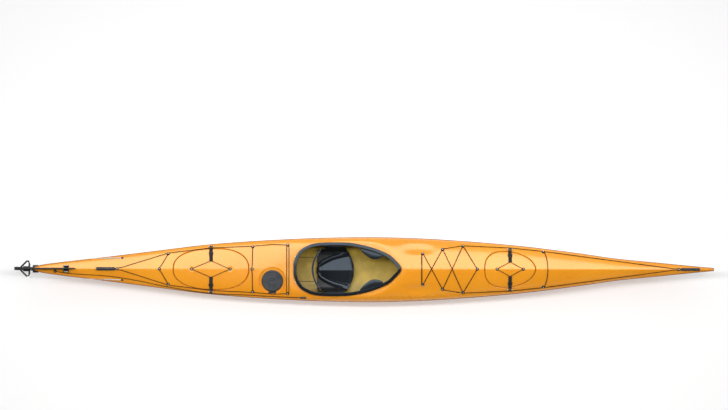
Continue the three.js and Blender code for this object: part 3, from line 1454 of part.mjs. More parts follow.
function addRudder() {
  const grown = hullBody(-fit, 0).add(deckBody(-fit, 0));
  const stern = grown.add(grown.translate([-fit, 0, 0]));
  const lugLow = barrelLevel - fit - bracketPlate;
  const lugHigh = barrelLevel + barrelHeight + fit;
  const bodyStart = barrelRadius + barrelGap;
  const bodyHeight = lugHigh + bracketPlate - lugLow;
  const bodyMiddle = (lugHigh + bracketPlate + lugLow) / 2;
  const lugReach = bodyStart + bracketPlate;
  const lug = (low) => {
    const plate = box(lugReach, 2 * lugRadius, bracketPlate, lugReach / 2, 0, low + bracketPlate / 2);
    return roundBar(lugRadius, low, low + bracketPlate, 0, 0).add(plate);
  };
  const pinTop = lugHigh + bracketPlate + fit;
  const pinFoot = lugLow - pinTail;
  const pinHole = roundBar(pinRadius + fit, pinFoot - overrun, pinTop + overrun, 0, 0);
  const wrap = box(bracketWrap, bracketWidth, bodyHeight, bodyStart + bracketWrap / 2, 0, bodyMiddle);
  const bracket = atYawPin(wrap.add(lug(lugLow)).add(lug(lugHigh)).subtract(pinHole)).subtract(stern);
  addPiece("rudder_bracket", materials.plastic, bracket);

  const pin = roundBar(pinRadius, pinFoot, pinTop + pinHeadHeight, 0, 0)
    .add(roundBar(pinHeadRadius, pinTop, pinTop + pinHeadHeight, 0, 0));
  addPiece("rudder_yaw_pin", materials.steel, atYawPin(pin));

  const webTop = yokeLevel - fit;
  const webFront = lugRadius + barrelGap;
  const webHeight = webTop - barrelLevel;
  const webMiddle = barrelLevel + webHeight / 2;
  const web = box(headAft - webFront, headWidth, webHeight, -(headAft + webFront) / 2, 0, webMiddle);
  const neckLength = webFront + barrelGap;
  const neck = box(neckLength, neckWidth, barrelHeight, -neckLength / 2, 0, barrelLevel + barrelHeight / 2);
  const barrel = roundBar(barrelRadius, barrelLevel, barrelLevel + barrelHeight, 0, 0);
  const cheekInner = bladeThickness / 2 + bladeSideGap;
  const rise = webTop - bladePivotLevel;
  const rootDrop = barrelLevel - bladePivotLevel;
  const front = bladePivotBack - headAft;
  const cheekOutline = [
    [front + headGrip, rootDrop], [front + headGrip, rise], [front, rise], [front, -bladeRootRadius / 2],
    ...cheekShares.map(([a, b]) => [a * cheekRadius, b * cheekRadius]),
    [0, rootDrop + cheekHeel], [front, rootDrop],
  ];
  const pivotX = -bladePivotBack;
  const pinBar = (radius, low, high) => {
    const geometry = new THREE.CylinderGeometry(radius, radius, high - low, barSides);
    return toSolid(geometry.translate(pivotX, (low + high) / 2, bladePivotLevel));
  };
  let head = web.add(neck).add(barrel).subtract(pinHole);
  for (const side of [1, -1]) {
    const y = side * (cheekInner + cheekThickness / 2);
    head = head.add(sidePlate(cheekOutline, cheekThickness, y).translate([pivotX, 0, bladePivotLevel]));
  }
  const boltReach = cheekInner + cheekThickness + fit;
  head = head.subtract(pinBar(bladeBoltRadius + fit, -boltReach - overrun, boltReach + overrun));
  addPiece("rudder_head", materials.plastic, atYawPin(head));

  const bolt = pinBar(bladeBoltRadius, -boltReach - bladeBoltHeadHeight, boltReach + bladeBoltHeadHeight)
    .add(pinBar(bladeBoltHead, boltReach, boltReach + bladeBoltHeadHeight))
    .add(pinBar(bladeBoltHead, -boltReach - bladeBoltHeadHeight, -boltReach));
  addPiece("rudder_pivot_bolt", materials.steel, atYawPin(bolt));

  const bladePoints = bladeShares.map(([a, b]) => [a * bladeLength, b * bladeChord - bladeKeelDrop]);
  const root = [];
  for (let k = 0; k <= rootSteps; k++) {
    const angle = Math.PI / 2 + (Math.PI * k) / rootSteps;
    root.push([bladeRootRadius * Math.cos(angle), bladeRootRadius * Math.sin(angle)]);
  }
  const blade = sidePlate([...root, ...bladePoints], bladeThickness)
    .translate([pivotX, 0, bladePivotLevel])
    .subtract(pinBar(bladeBoltRadius + fit, -boltReach, boltReach));
  addPiece("rudder_blade", materials.plastic, atYawPin(blade));

  const tip = [-yokeTipBack, yokeSpan / 2];
  const cheekSide = cheekInner + cheekThickness + fit;
  const bar = -yokeForward;
  const diagonalEnd = -bladePivotBack + front / 2;
  const portHalf = [
    [bar + yokeArm / 2, 0],
    [bar + yokeArm / 2, tip[1] / 2],
    [tip[0] + yokeArm / 2, tip[1] + yokeArm / 2],
    [tip[0] - yokeArm / 2, tip[1] + yokeArm / 2],
    [diagonalEnd, cheekSide + yokeArm / 2],
    [diagonalEnd, cheekSide],
    [diagonalEnd + yokeWeb, cheekSide],
    [tip[0] - yokeArm / 2, tip[1] - yokeWeb],
    [bar - yokeArm, tip[1] - 2 * yokeArm],
    [bar - yokeArm, headWidth / 2],
    [-headAft + yokeArm, headWidth / 2 - yokeThickness],
    [-headAft + yokeArm, 0],
  ];
  const outline = [...portHalf.slice(0, -1), ...portHalf.slice(1, -1).reverse().map(([x, y]) => [x, -y])];
  const yoke = prism(outline.map(([x, y]) => ({ x, y })), yokeLevel, yokeLevel + yokeThickness);
  addPiece("rudder_yoke", materials.plastic, atYawPin(yoke));

  const chockX = xAt(chockShare);
  const floor = bladePivotLevel - bladeKeelDrop - fit;
  const arm = chockWidth / 2;
  const slot = bladeThickness / 2 + bladeSideGap;
  const profile = [
    [arm, floor - 2 * chockRise], [arm, floor + chockRise], [arm - chockWeb, floor + chockRise],
    [slot, floor], [-slot, floor], [chockWeb - arm, floor + chockRise], [-arm, floor + chockRise],
    [-arm, floor - 2 * chockRise],
  ];
  const chock = endBlock(profile, chockLength, chockX - chockLength / 2).subtract(grown);
  addPiece("rudder_chock", materials.rubber, chock);
  return grown;
}

function addHaulLine(skin) {
  const points = [];
  for (let k = 0; k <= haulSteps; k++) {
    const share = haulStartShare + ((haulCleatShare - haulStartShare) * k) / haulSteps;
    const out = lineAt(haulOutShares, share) * halfBeamAt(share);
    points.push(onDeck(xAt(share), -out, restOf(haulDiameter)));
  }
  addPiece("rudder_haul_line", materials.cord, cord(points, haulDiameter));
  const end = points[points.length - 1];
  const startX = end.x + fit;
  const middleY = end.y;
  const base = end.z - haulDiameter;
  const half = cleatLength / 2;
  const centreX = startX + half;
  const hornTop = cleatHeight + cleatWaist / 2;
  const outline = [
    [-cleatFoot, 0], [cleatFoot, 0], [cleatWaist, cleatWaist], [half, cleatHeight], [half, hornTop],
    [-half, hornTop], [-half, cleatHeight], [-cleatWaist, cleatWaist],
  ];
  const foot = box(cleatLength, cleatWidth, cleatHeight, 0, 0, 0);
  const horns = sidePlate(outline, cleatWidth);
  const cleat = horns.add(foot).translate([centreX, middleY, base]).subtract(skin);
  addPiece("haul_line_cleat", materials.plastic, cleat);
  const guide = fitting(points[0].x, points[0].y);
  return { tunnel: cord(points, haulDiameter + 2 * tunnelGap, tunnelSides), guide };
}

const coamingHole = addCoaming();
const rear = addOvalHatch("rear", {
  centreX: rearHatchX,
  length: rearHatchLength,
  width: rearHatchWidth,
  widestShare: rearHatchWidestShare,
  powers: rearHatchPowers,
});
const front = addOvalHatch("front", {
  centreX: frontHatchX,
  length: frontHatchLength,
  width: frontHatchWidth,
  widestShare: frontHatchWidestShare,
  powers: frontHatchPowers,
});
const dayHole = addDayHatch();
const lines = addDeckLines();
const passages = addSteeringCables();
const skin = addRudder();
const haul = addHaulLine(skin);
addToggle("stern_toggle", sternToggleShare, -1, sternToggleRadius);
addToggle("bow_toggle", bowToggleShare, 1, bowToggleRadius);
addSeat();
addBackband();
addThighBraces();
addFootControls();
addBulkheads(passages);
const threaded = [...lines.fittings, haul.guide].map((dome) =>
  [...lines.tunnels, haul.tunnel].reduce((rest, tunnel) => rest.subtract(tunnel), dome),
);
addShells(
  [coamingHole, rear.cut, front.cut, dayHole, ...passages],
  [...threaded, ...rear.anchors, ...front.anchors],
);

export default kayak;
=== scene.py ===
import math
import bmesh
import bpy
from mathutils import Matrix, Vector, geometry, noise


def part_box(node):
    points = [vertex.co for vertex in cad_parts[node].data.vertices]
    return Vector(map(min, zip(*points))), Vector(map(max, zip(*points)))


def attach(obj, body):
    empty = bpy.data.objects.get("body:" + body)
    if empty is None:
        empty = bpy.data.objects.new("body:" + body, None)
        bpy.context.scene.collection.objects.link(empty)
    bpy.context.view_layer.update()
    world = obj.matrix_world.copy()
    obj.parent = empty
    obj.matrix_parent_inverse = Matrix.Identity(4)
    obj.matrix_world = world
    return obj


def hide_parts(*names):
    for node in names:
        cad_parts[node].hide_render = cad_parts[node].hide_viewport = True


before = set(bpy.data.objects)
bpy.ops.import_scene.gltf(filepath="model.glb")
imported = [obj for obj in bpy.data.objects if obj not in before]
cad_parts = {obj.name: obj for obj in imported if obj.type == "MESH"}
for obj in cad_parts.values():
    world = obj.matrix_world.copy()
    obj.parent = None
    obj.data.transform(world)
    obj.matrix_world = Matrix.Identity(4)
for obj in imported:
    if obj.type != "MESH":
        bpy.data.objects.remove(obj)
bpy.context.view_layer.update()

# The camera looks down on the boat through a long lens, a little from the starboard side. Its shift
# puts the boat's centreline where the photograph has it, below the middle of the picture.
photo_width_px = 728
photo_middle_py = 205
centreline_py = 269.6
view_width = 5.824
view_elevation = math.radians(87.6)
view_roll = math.radians(0.1)
view_distance = 30.0
view_aim = Vector((0.004, 0, 0.2))
camera = bpy.data.objects.new("camera", bpy.data.cameras.new("camera"))
camera.data.lens = camera.data.sensor_width * view_distance / view_width
camera.data.shift_y = (centreline_py - photo_middle_py) / photo_width_px
camera.data.clip_end = 3 * view_distance
view_line = Vector((0, -math.cos(view_elevation), math.sin(view_elevation)))
camera.location = view_aim + view_distance * view_line
camera.rotation_euler = (math.pi / 2 - view_elevation, 0, view_roll)
bpy.context.collection.objects.link(camera)
bpy.context.scene.camera = camera

# A plain pale floor under the keel and a long soft lamp overhead. The wax on the deck and the coaming
# mirrors a wide lamp to port and a weaker one to starboard, which light nothing else.
floor_size = 40
floor_drop = 0.0005
bpy.context.scene.view_settings.view_transform = "Standard"


def mesh_from(name, bm):
    mesh = bpy.data.meshes.new(name)
    bm.to_mesh(mesh)
    bm.free()
    return mesh


floor_bm = bmesh.new()
bmesh.ops.create_grid(floor_bm, x_segments=1, y_segments=1, size=floor_size)
floor_mesh = mesh_from("floor", floor_bm)
floor = bpy.data.objects.new("floor", floor_mesh)
floor.location.z = -floor_drop
bpy.context.collection.objects.link(floor)
floor_paint = bpy.data.materials.new("floor_paint")
floor_paint.use_nodes = True
floor_shader = floor_paint.node_tree.nodes["Principled BSDF"]
floor_shader.inputs["Base Color"].default_value = (0.6, 0.6, 0.6, 1)
floor_shader.inputs["Roughness"].default_value = 0.9
floor_shader.inputs["Emission Color"].default_value = (1, 1, 1, 1)
floor_shader.inputs["Emission Strength"].default_value = 0.43
floor_mesh.materials.append(floor_paint)

sky = bpy.data.worlds.new("sky")
sky.use_nodes = True
sky.node_tree.nodes["Background"].inputs["Color"].default_value = (1, 1, 1, 1)
sky_place = sky.node_tree.nodes.new("ShaderNodeTexCoord")
sky_axes = sky.node_tree.nodes.new("ShaderNodeSeparateXYZ")
sky_fade = sky.node_tree.nodes.new("ShaderNodeMapRange")
sky_fade.inputs["From Min"].default_value = -0.3
sky_fade.inputs["From Max"].default_value = 0.5
sky_fade.inputs["To Min"].default_value = 0.12
sky_fade.inputs["To Max"].default_value = 0.8
sky.node_tree.links.new(sky_place.outputs["Generated"], sky_axes.inputs["Vector"])
sky.node_tree.links.new(sky_axes.outputs["Y"], sky_fade.inputs["Value"])
sky.node_tree.links.new(sky_fade.outputs["Result"], sky.node_tree.nodes["Background"].inputs["Strength"])
bpy.context.scene.world = sky


def soft_lamp(name, place, length, depth, power, is_mirrored=True):
    lamp = bpy.data.objects.new(name, bpy.data.lights.new(name, "AREA"))
    lamp.data.shape = "RECTANGLE"
    lamp.data.size = length
    lamp.data.size_y = depth
    lamp.data.energy = power
    lamp.location = place
    lamp.rotation_euler = (Vector((0, 0, 0.2)) - Vector(place)).to_track_quat("-Z", "Y").to_euler()
    lamp.visible_camera = False
    lamp.visible_glossy = is_mirrored
    lamp.visible_diffuse = not is_mirrored
    bpy.context.collection.objects.link(lamp)


soft_lamp("overhead_lamp", (0, 0.35, 4.3), 8.0, 0.4, 190, is_mirrored=False)
soft_lamp("port_lamp", (0, 2.0, 4.0), 9.0, 3.8, 500)
soft_lamp("starboard_lamp", (0, -3.0, 2.0), 8.0, 0.8, 10)

# The hull's lines, the same as those that the boat is built to: each table pairs a share of the
# hull's length, from the stern, with a share of the size that its name gives.
hull_length = 5.412
half_beam = 0.258
sheer_height = 0.196
bow_rise = 0.190
keel_flat = 0.042
skin_thickness = 0.004
bow_x = 2.78665
stern_x = bow_x - hull_length
half_beam_shares = [
    (0, 0.05), (0.0096, 0.109), (0.0362, 0.19), (0.0983, 0.345), (0.1811, 0.565), (0.2639, 0.775),
    (0.3466, 0.9), (0.43, 0.977), (0.49, 1), (0.56, 0.965), (0.64, 0.865), (0.72, 0.715),
    (0.8, 0.505), (0.86, 0.325), (0.92, 0.2), (0.97, 0.095), (1, 0.035),
]
sheer_shares = [
    (0, 1.357), (0.05, 1.286), (0.1, 1.219), (0.2, 1.107), (0.3, 1.036), (0.4, 1), (0.5, 1.01),
    (0.6, 1.066), (0.7, 1.158), (0.8, 1.28), (0.9, 1.444), (1, 1.643),
]
keel_shares = [
    (0, 0.765), (0.012, 0.54), (0.04, 0.324), (0.09, 0.159), (0.17, 0.047), (0.26, 0), (0.7, 0),
    (0.8, 0.041), (0.87, 0.13), (0.93, 0.324), (0.97, 0.618), (1, 1.118),
]
hull_powers = [(0, 1.3), (0.1, 1.6), (0.3, 2.4), (0.5, 2.7), (0.7, 2.3), (0.9, 1.5), (1, 1.25)]


def line_at(pairs, at):
    last = len(pairs) - 1
    if at <= pairs[0][0]:
        return pairs[0][1]
    if at >= pairs[last][0]:
        return pairs[last][1]
    i = 0
    while pairs[i + 1][0] < at:
        i += 1

    def rise(k):
        return (pairs[k + 1][1] - pairs[k][1]) / (pairs[k + 1][0] - pairs[k][0])

    def slope(k):
        if k == 0:
            return rise(0)
        if k == last:
            return rise(last - 1)
        before, after = rise(k - 1), rise(k)
        return 0 if before * after <= 0 else 2 * before * after / (before + after)

    width = pairs[i + 1][0] - pairs[i][0]
    t = (at - pairs[i][0]) / width
    keep = (1 + 2 * t) * (1 - t) ** 2
    lead = t * (1 - t) ** 2 * width * slope(i)
    trail = t * t * (t - 1) * width * slope(i + 1)
    return keep * pairs[i][1] + lead + (1 - keep) * pairs[i + 1][1] + trail


def x_at(station):
    return stern_x + station * hull_length


def station_at(x):
    return (x - stern_x) / hull_length


def half_beam_at(station):
    return line_at(half_beam_shares, station) * half_beam


def sheer_at(station):
    return line_at(sheer_shares, station) * sheer_height


def keel_at(station):
    return line_at(keel_shares, station) * bow_rise


def hull_point(station, turn):
    half = half_beam_at(station)
    flat = keel_flat * line_at(half_beam_shares, station)
    power = 2 / line_at(hull_powers, station)
    angle = abs(turn) * math.pi / 2
    out = max(math.cos(angle), 0) ** power
    depth = math.sin(angle) ** power
    z = sheer_at(station) - (sheer_at(station) - keel_at(station)) * depth
    return (flat + (half - flat) * out), z


# Gelcoat: pigmented resin sprayed into the mould before the cloth, then waxed. Its tone drifts slowly,
# its shine is duller where it is scuffed, and it has a faint orange peel.
def add_node(tree, kind, **settings):
    node = tree.nodes.new(kind)
    for key, value in settings.items():
        if key in node.inputs:
            node.inputs[key].default_value = value
        else:
            setattr(node, key, value)
    return node


def grain(tree, scale, detail, stretch=(1, 1, 1)):
    place = tree.nodes.new("ShaderNodeTexCoord")
    mapping = add_node(tree, "ShaderNodeMapping", Scale=stretch)
    texture = add_node(tree, "ShaderNodeTexNoise", Scale=scale, Detail=detail)
    tree.links.new(place.outputs["Object"], mapping.inputs["Vector"])
    tree.links.new(mapping.outputs["Vector"], texture.inputs["Vector"])
    return texture.outputs["Fac"]


def blend_colors(tree, factor, low, high, start=0.35, end=0.65):
    ramp = tree.nodes.new("ShaderNodeValToRGB")
    for stop, place, color in zip(ramp.color_ramp.elements, (start, end), (low, high)):
        stop.position = place
        stop.color = (*color, 1)
    tree.links.new(factor, ramp.inputs["Fac"])
    return ramp.outputs["Color"]


def spread(tree, factor, low, high):
    node = add_node(tree, "ShaderNodeMapRange", **{"To Min": low, "To Max": high})
    tree.links.new(factor, node.inputs["Value"])
    return node.outputs["Result"]


def add_bump(tree, shader, height, strength, distance):
    bump = add_node(tree, "ShaderNodeBump", Strength=strength, Distance=distance)
    tree.links.new(height, bump.inputs["Height"])
    tree.links.new(bump.outputs["Normal"], shader.inputs["Normal"])


def new_paint(name, color, roughness, mirror=0.5, tone=None, wear=None, bump=None, sockets=()):
    paint = bpy.data.materials.new(name)
    paint.use_nodes = True
    tree = paint.node_tree
    shader = tree.nodes["Principled BSDF"]
    plain = (("Base Color", (*color, 1)), ("Roughness", roughness), ("Specular IOR Level", mirror))
    for socket, value in (*plain, *sockets):
        shader.inputs[socket].default_value = value
    if tone:
        scale, detail, *colors = tone
        toned = blend_colors(tree, grain(tree, scale, detail), *colors)
        tree.links.new(toned, shader.inputs["Base Color"])
    if wear:
        scale, detail, low, high, *stretch = wear
        worn = spread(tree, grain(tree, scale, detail, *stretch), low, high)
        tree.links.new(worn, shader.inputs["Roughness"])
    if bump:
        scale, detail, strength, distance = bump
        add_bump(tree, shader, grain(tree, scale, detail), strength, distance)
    return paint


def gelcoat(name, low, high):
    return new_paint(
        name, high, 0.2, tone=(1.7, 2.0, low, high, 0.3, 0.7), wear=(9.0, 5.0, 0.2, 0.34),
        bump=(260.0, 2.0, 0.05, 0.0004),
        sockets=(("Specular Tint", (1, 0.85, 0.55, 1)), ("Coat Weight", 0.5), ("Coat Roughness", 0.13)),
    )


deck_gelcoat = gelcoat("deck_gelcoat", (0.8, 0.285, 0.01), (0.88, 0.335, 0.015))
hull_gelcoat = gelcoat("hull_gelcoat", (0.76, 0.25, 0.01), (0.84, 0.3, 0.014))

# Laminate: the bare inside of the mouldings, a woven cloth soaked in resin. The resin lies thicker
# and darker in some places than in others.
laminate = new_paint("laminate", (0.46, 0.33, 0.06), 0.45, 0.3)
laminate_tree = laminate.node_tree
laminate_shader = laminate_tree.nodes["Principled BSDF"]
laminate_place = laminate_tree.nodes.new("ShaderNodeTexCoord")
weave = add_node(laminate_tree, "ShaderNodeTexChecker", Scale=260.0)
weave.inputs["Color1"].default_value = (0.52, 0.375, 0.068, 1)
weave.inputs["Color2"].default_value = (0.4, 0.285, 0.05, 1)
resin_grain = grain(laminate_tree, 7.0, 4.0)
resin_tone = blend_colors(laminate_tree, resin_grain, (0.8, 0.78, 0.7), (1.25, 1.2, 1.05))
resin_mix = add_node(laminate_tree, "ShaderNodeMix", data_type="RGBA", blend_type="MULTIPLY")
resin_mix.inputs["Factor"].default_value = 1
laminate_tree.links.new(laminate_place.outputs["Object"], weave.inputs["Vector"])
laminate_tree.links.new(weave.outputs["Color"], resin_mix.inputs["A"])
laminate_tree.links.new(resin_tone, resin_mix.inputs["B"])
laminate_tree.links.new(resin_mix.outputs["Result"], laminate_shader.inputs["Base Color"])
add_bump(laminate_tree, laminate_shader, weave.outputs["Fac"], 0.15, 0.0004)

# The hull: one moulding from sheer to keel, gelcoat outside and bare laminate inside. The grid's
# long side runs along the boat and its short side goes round the section.
hull_long_count = 260
hull_round_count = 64


def piece(name, mesh, paints, body, slot, *stands_for, crisp=None):
    made = bpy.data.objects.new(name, mesh)
    bpy.context.collection.objects.link(made)
    for paint in paints:
        mesh.materials.append(paint)
    mesh.polygons.foreach_set("use_smooth", [True] * len(mesh.polygons))
    if crisp:
        mesh.set_sharp_from_angle(angle=math.radians(crisp))
    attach(made, body)
    if stands_for:
        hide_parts(*stands_for)
    return made


def applied(mesh, *modifiers):
    worker = bpy.data.objects.new("worker", mesh)
    bpy.context.collection.objects.link(worker)
    for kind, settings in modifiers:
        modifier = worker.modifiers.new(kind.lower(), kind)
        for key, value in settings.items():
            setattr(modifier, key, value)
    graph = bpy.context.evaluated_depsgraph_get()
    done = bpy.data.meshes.new_from_object(worker.evaluated_get(graph))
    bpy.data.objects.remove(worker)
    return done


def moulded(name, bm, outside, rim_offset):
    mesh = mesh_from(name, bm)
    mesh.materials.append(outside)
    mesh.materials.append(laminate)
    return applied(mesh, ("SOLIDIFY", {
        "thickness": skin_thickness, "offset": -1, "material_offset": 1, "material_offset_rim": rim_offset,
    }))


def skin_grid(long_count, round_count, place_at):
    bm = bmesh.new()
    bmesh.ops.create_grid(bm, x_segments=long_count, y_segments=round_count, size=1)
    for vert in bm.verts:
        vert.co = place_at((vert.co.x + 1) / 2, vert.co.y)
    return bm


def hull_place(station, turn):
    y, z = hull_point(station, 1 - abs(turn))
    return Vector((x_at(station), math.copysign(y, turn) if turn else 0, z))


def facing(bm, up):
    total = sum(face.normal.z * face.calc_area() for face in bm.faces)
    if (total > 0) != up:
        bmesh.ops.reverse_faces(bm, faces=bm.faces)


hull_bm = skin_grid(hull_long_count, hull_round_count, hull_place)
for end in (0, 1):
    rim = [vert for vert in hull_bm.verts if abs(vert.co.x - x_at(end)) < 1e-6]
    middle = Vector((x_at(end), 0, (sheer_at(end) + keel_at(end)) / 2))
    ring = [edge for edge in hull_bm.edges if edge.is_boundary and all(v in rim for v in edge.verts)]
    spun = bmesh.ops.extrude_edge_only(hull_bm, edges=ring)
    fresh = [item for item in spun["geom"] if isinstance(item, bmesh.types.BMVert)]
    bmesh.ops.pointmerge(hull_bm, verts=fresh, merge_co=middle)
bmesh.ops.recalc_face_normals(hull_bm, faces=hull_bm.faces)
facing(hull_bm, False)
piece(
    "hull_moulding", moulded("hull", hull_bm, hull_gelcoat, 1), [], "hull", "hull_gelcoat",
    "hull_stern", "hull_rear", "hull_middle", "hull_bow",
)

# The deck: the second moulding, with holes cut for cockpit and hatches, and a rounded crease where its
# arch meets the flat bed of the cockpit and the day hatch. A hatch is its place, length and width, the
# share of its length aft of its widest point, and how square its aft and fore halves are.
crown_height = 0.118
crown_shares = [
    (0, 0.12), (0.05, 0.22), (0.1, 0.305), (0.2, 0.407), (0.3, 0.407), (0.36, 0.4), (0.4, 0.525),
    (0.46, 0.83), (0.52, 0.958), (0.56, 1), (0.65, 0.932), (0.75, 0.78), (0.85, 0.525), (0.93, 0.288),
    (1, 0.1),
]
ridge_shares = [
    (0, 0.5), (0.2, 0.35), (0.33, 0.1), (0.38, 0), (0.48, 0.05), (0.55, 0.3), (0.65, 0.4), (1, 0.5),
]
bed_shares = [
    (0, 2.5), (0.3, 1.6), (0.355, 1.275), (0.381, 1.23), (0.4426, 1.276), (0.496, 1.337),
    (0.5136, 1.403), (0.5406, 1.592), (0.549, 1.653), (0.5625, 1.79), (0.62, 2.5), (1, 2.5),
]
deck_powers = [(0, 2), (0.2, 2.8), (0.36, 3.4), (0.46, 3.2), (0.55, 2.5), (0.7, 2.2), (1, 2)]
scallop_depth = 0.012
scallop_station_share = 0.5646
scallop_length_share = 0.034
scallop_out_share = 0.65
scallop_width_share = 0.23
crease_width = 0.005
ridge_softness = 0.03
deck_long_count = 360
deck_cross_count = 72
outline_count = 168
round_count = 96
hole_gap = 0.0003
site_gap = 0.004
rear_hatch = (0.2597, 0.614, 0.34, 0.57, 2.4, 2.3)
front_hatch = (0.7006, 0.416, 0.3, 0.39, 2.5, 1.9)
oval_hatches = (("rear", rear_hatch), ("front", front_hatch))
day_centre = Vector((x_at(0.3502), -0.093, 0))
day_recess_radius = 0.112
lip_width = 0.026
coaming_wall = 0.004
cockpit_aft = x_at(0.3813)
cockpit_length = 0.862
cockpit_half_width = 0.217
coaming_shares = [
    (1, 0), (0.989, 0.125), (0.951, 0.295), (0.896, 0.505), (0.803, 0.69), (0.71, 0.818), (0.617, 0.91),
    (0.524, 0.973), (0.432, 0.992), (0.339, 0.992), (0.246, 0.977), (0.172, 0.93), (0.107, 0.82),
    (0.06, 0.69), (0.023, 0.468), (0.003, 0.25), (0, 0),
]


def hump(share):
    return (1 - share * share) ** 2 if abs(share) < 1 else 0


def rounded_deck(x, y):
    station = station_at(x)
    bed = line_at(bed_shares, station) * sheer_height
    out = min(abs(y) / half_beam_at(station), 1)
    arch = math.sqrt(max(1 - out ** line_at(deck_powers, station), 0))
    ridge = line_at(ridge_shares, station)
    crown = line_at(crown_shares, station) * crown_height
    dip = hump((station - scallop_station_share) / scallop_length_share)
    dip *= hump((out - scallop_out_share) / scallop_width_share)
    peak = math.hypot(out, ridge_softness) - ridge_softness * (1 - out)
    skin = sheer_at(station) + crown * ((1 - ridge) * arch + ridge * (1 - peak)) - scallop_depth * dip
    near = max(crease_width - abs(skin - bed), 0) / crease_width
    return min(skin, bed) - near * near * crease_width / 4


def smooth_path(points, steps, closed=False):
    count = len(points)
    path = []
    for i in range(count if closed else count - 1):
        b, c = points[i], points[(i + 1) % count]
        a = points[i - 1] if closed or i > 0 else 2 * b - c
        d = points[(i + 2) % count] if closed or i + 2 < count else 2 * c - b
        before, here, after = (max((q - p).length, 1e-6) ** 0.5 for p, q in ((a, b), (b, c), (c, d)))
        enter = ((b - a) / before - (c - a) / (before + here) + (c - b) / here) * here
        leave = ((c - b) / here - (d - b) / (here + after) + (d - c) / after) * here
        for k in range(steps):
            t = k / steps
            bend = -3 * b + 3 * c - 2 * enter - leave
            path.append(b + t * enter + t * t * bend + t ** 3 * (2 * b - 2 * c + enter + leave))
    return path if closed else path + [points[-1].copy()]


def drawn_in(outline, inset):
    count = len(outline)
    moved = []
    for i, point in enumerate(outline):
        along = (outline[(i + 1) % count] - outline[i - 1]).normalized()
        moved.append(Vector((point.x - along.y * inset, point.y + along.x * inset, 0)))
    return moved


port_edge = [
    Vector((cockpit_aft + along * cockpit_length, out * cockpit_half_width, 0))
    for along, out in coaming_shares
]
starboard_edge = [Vector((p.x, -p.y, 0)) for p in reversed(port_edge[1:-1])]
coaming_line = smooth_path(port_edge + starboard_edge, 6, closed=True)


def coaming_outline(inset):
    return drawn_in(coaming_line, inset)


def hatch_outline(hatch, inset):
    share, length, width, widest, aft_power, fore_power = hatch
    points = []
    for i in range(outline_count):
        angle = i / outline_count * math.tau
        c, s = math.cos(angle), math.sin(angle)
        reach, power = (1 - widest, fore_power) if c > 0 else (widest, aft_power)
        x = (widest - 0.5) * length + (reach * length - inset) * math.copysign(abs(c) ** (2 / power), c)
        y = (width / 2 - inset) * math.copysign(abs(s) ** (2 / power), s)
        points.append(Vector((x_at(share) + x, y, 0)))
    return points


def day_outline(radius):
    turns = [i / round_count * math.tau for i in range(round_count)]
    return [day_centre + radius * Vector((math.cos(turn), math.sin(turn), 0)) for turn in turns]


def hole_outlines(gap):
    return [
        coaming_outline(lip_width - coaming_wall - gap), day_outline(day_recess_radius + gap),
        hatch_outline(rear_hatch, -gap), hatch_outline(front_hatch, -gap),
    ]


def deck_place(station, turn):
    out = math.sin(turn * math.pi / 2) * half_beam_at(station)
    return Vector((x_at(station), out, rounded_deck(x_at(station), out)))


def is_inside(outline, x, y):
    odd = False
    for i, a in enumerate(outline):
        b = outline[i - 1]
        if (a.y > y) != (b.y > y) and x < a.x + (b.x - a.x) * (y - a.y) / (b.y - a.y):
            odd = not odd
    return odd


def within(holes, x, y):
    return any(low <= x <= high and is_inside(hole, x, y) for hole, low, high in holes)


def with_ends(outlines):
    return [(outline, min(p.x for p in outline), max(p.x for p in outline)) for outline in outlines]


def cut_sheet(sites, outlines, skirts):
    holes, no_sites = with_ends(outlines), with_ends(skirts)
    corners = [Vector((p.x, p.y)) for p in sites if not within(no_sites, p.x, p.y)]
    ties = []
    for outline in outlines:
        first = len(corners)
        corners += [Vector((p.x, p.y)) for p in outline]
        ties += [(first + i, first + (i + 1) % len(outline)) for i in range(len(outline))]
    places, _, faces, _, _, _ = geometry.delaunay_2d_cdt(corners, ties, [], 0, 1e-6)
    bm = bmesh.new()
    verts = [bm.verts.new((p.x, p.y, rounded_deck(p.x, p.y))) for p in places]
    for face in faces:
        x = sum(places[k].x for k in face) / len(face)
        y = sum(places[k].y for k in face) / len(face)
        if abs(y) < half_beam_at(station_at(x)) and not within(holes, x, y):
            bm.faces.new([verts[k] for k in face])
    bmesh.ops.delete(bm, geom=[vert for vert in bm.verts if not vert.link_faces], context="VERTS")
    return bm


deck_sites = [
    deck_place(i / deck_long_count, 2 * j / deck_cross_count - 1)
    for i in range(deck_long_count + 1) for j in range(deck_cross_count + 1)
]
deck_bm = cut_sheet(deck_sites, hole_outlines(hole_gap), hole_outlines(site_gap))
facing(deck_bm, True)
deck_mesh = moulded("deck", deck_bm, deck_gelcoat, 0)
piece("deck_moulding", deck_mesh, [], "hull", "deck_gelcoat", "deck_shell", crisp=35)

# The seam tape: a glossy strip of resin and cloth over the joint between the mouldings, feathered
# by hand, so that its edges waver a little. It goes round both stems.
seam_height = 0.012
seam_stand_off = 0.0003
seam_thickness = 0.0024
seam_feather = 0.7
seam_waver = 0.0007
seam_waves = 90
seam_count = 400
merge_reach = 0.000001


def closed_mesh(name, bm):
    bmesh.ops.recalc_face_normals(bm, faces=bm.faces)
    return mesh_from(name, bm)


def close_up(bm, reach=merge_reach):
    bmesh.ops.remove_doubles(bm, verts=bm.verts, dist=reach)
    bmesh.ops.holes_fill(bm, edges=[edge for edge in bm.edges if edge.is_boundary])


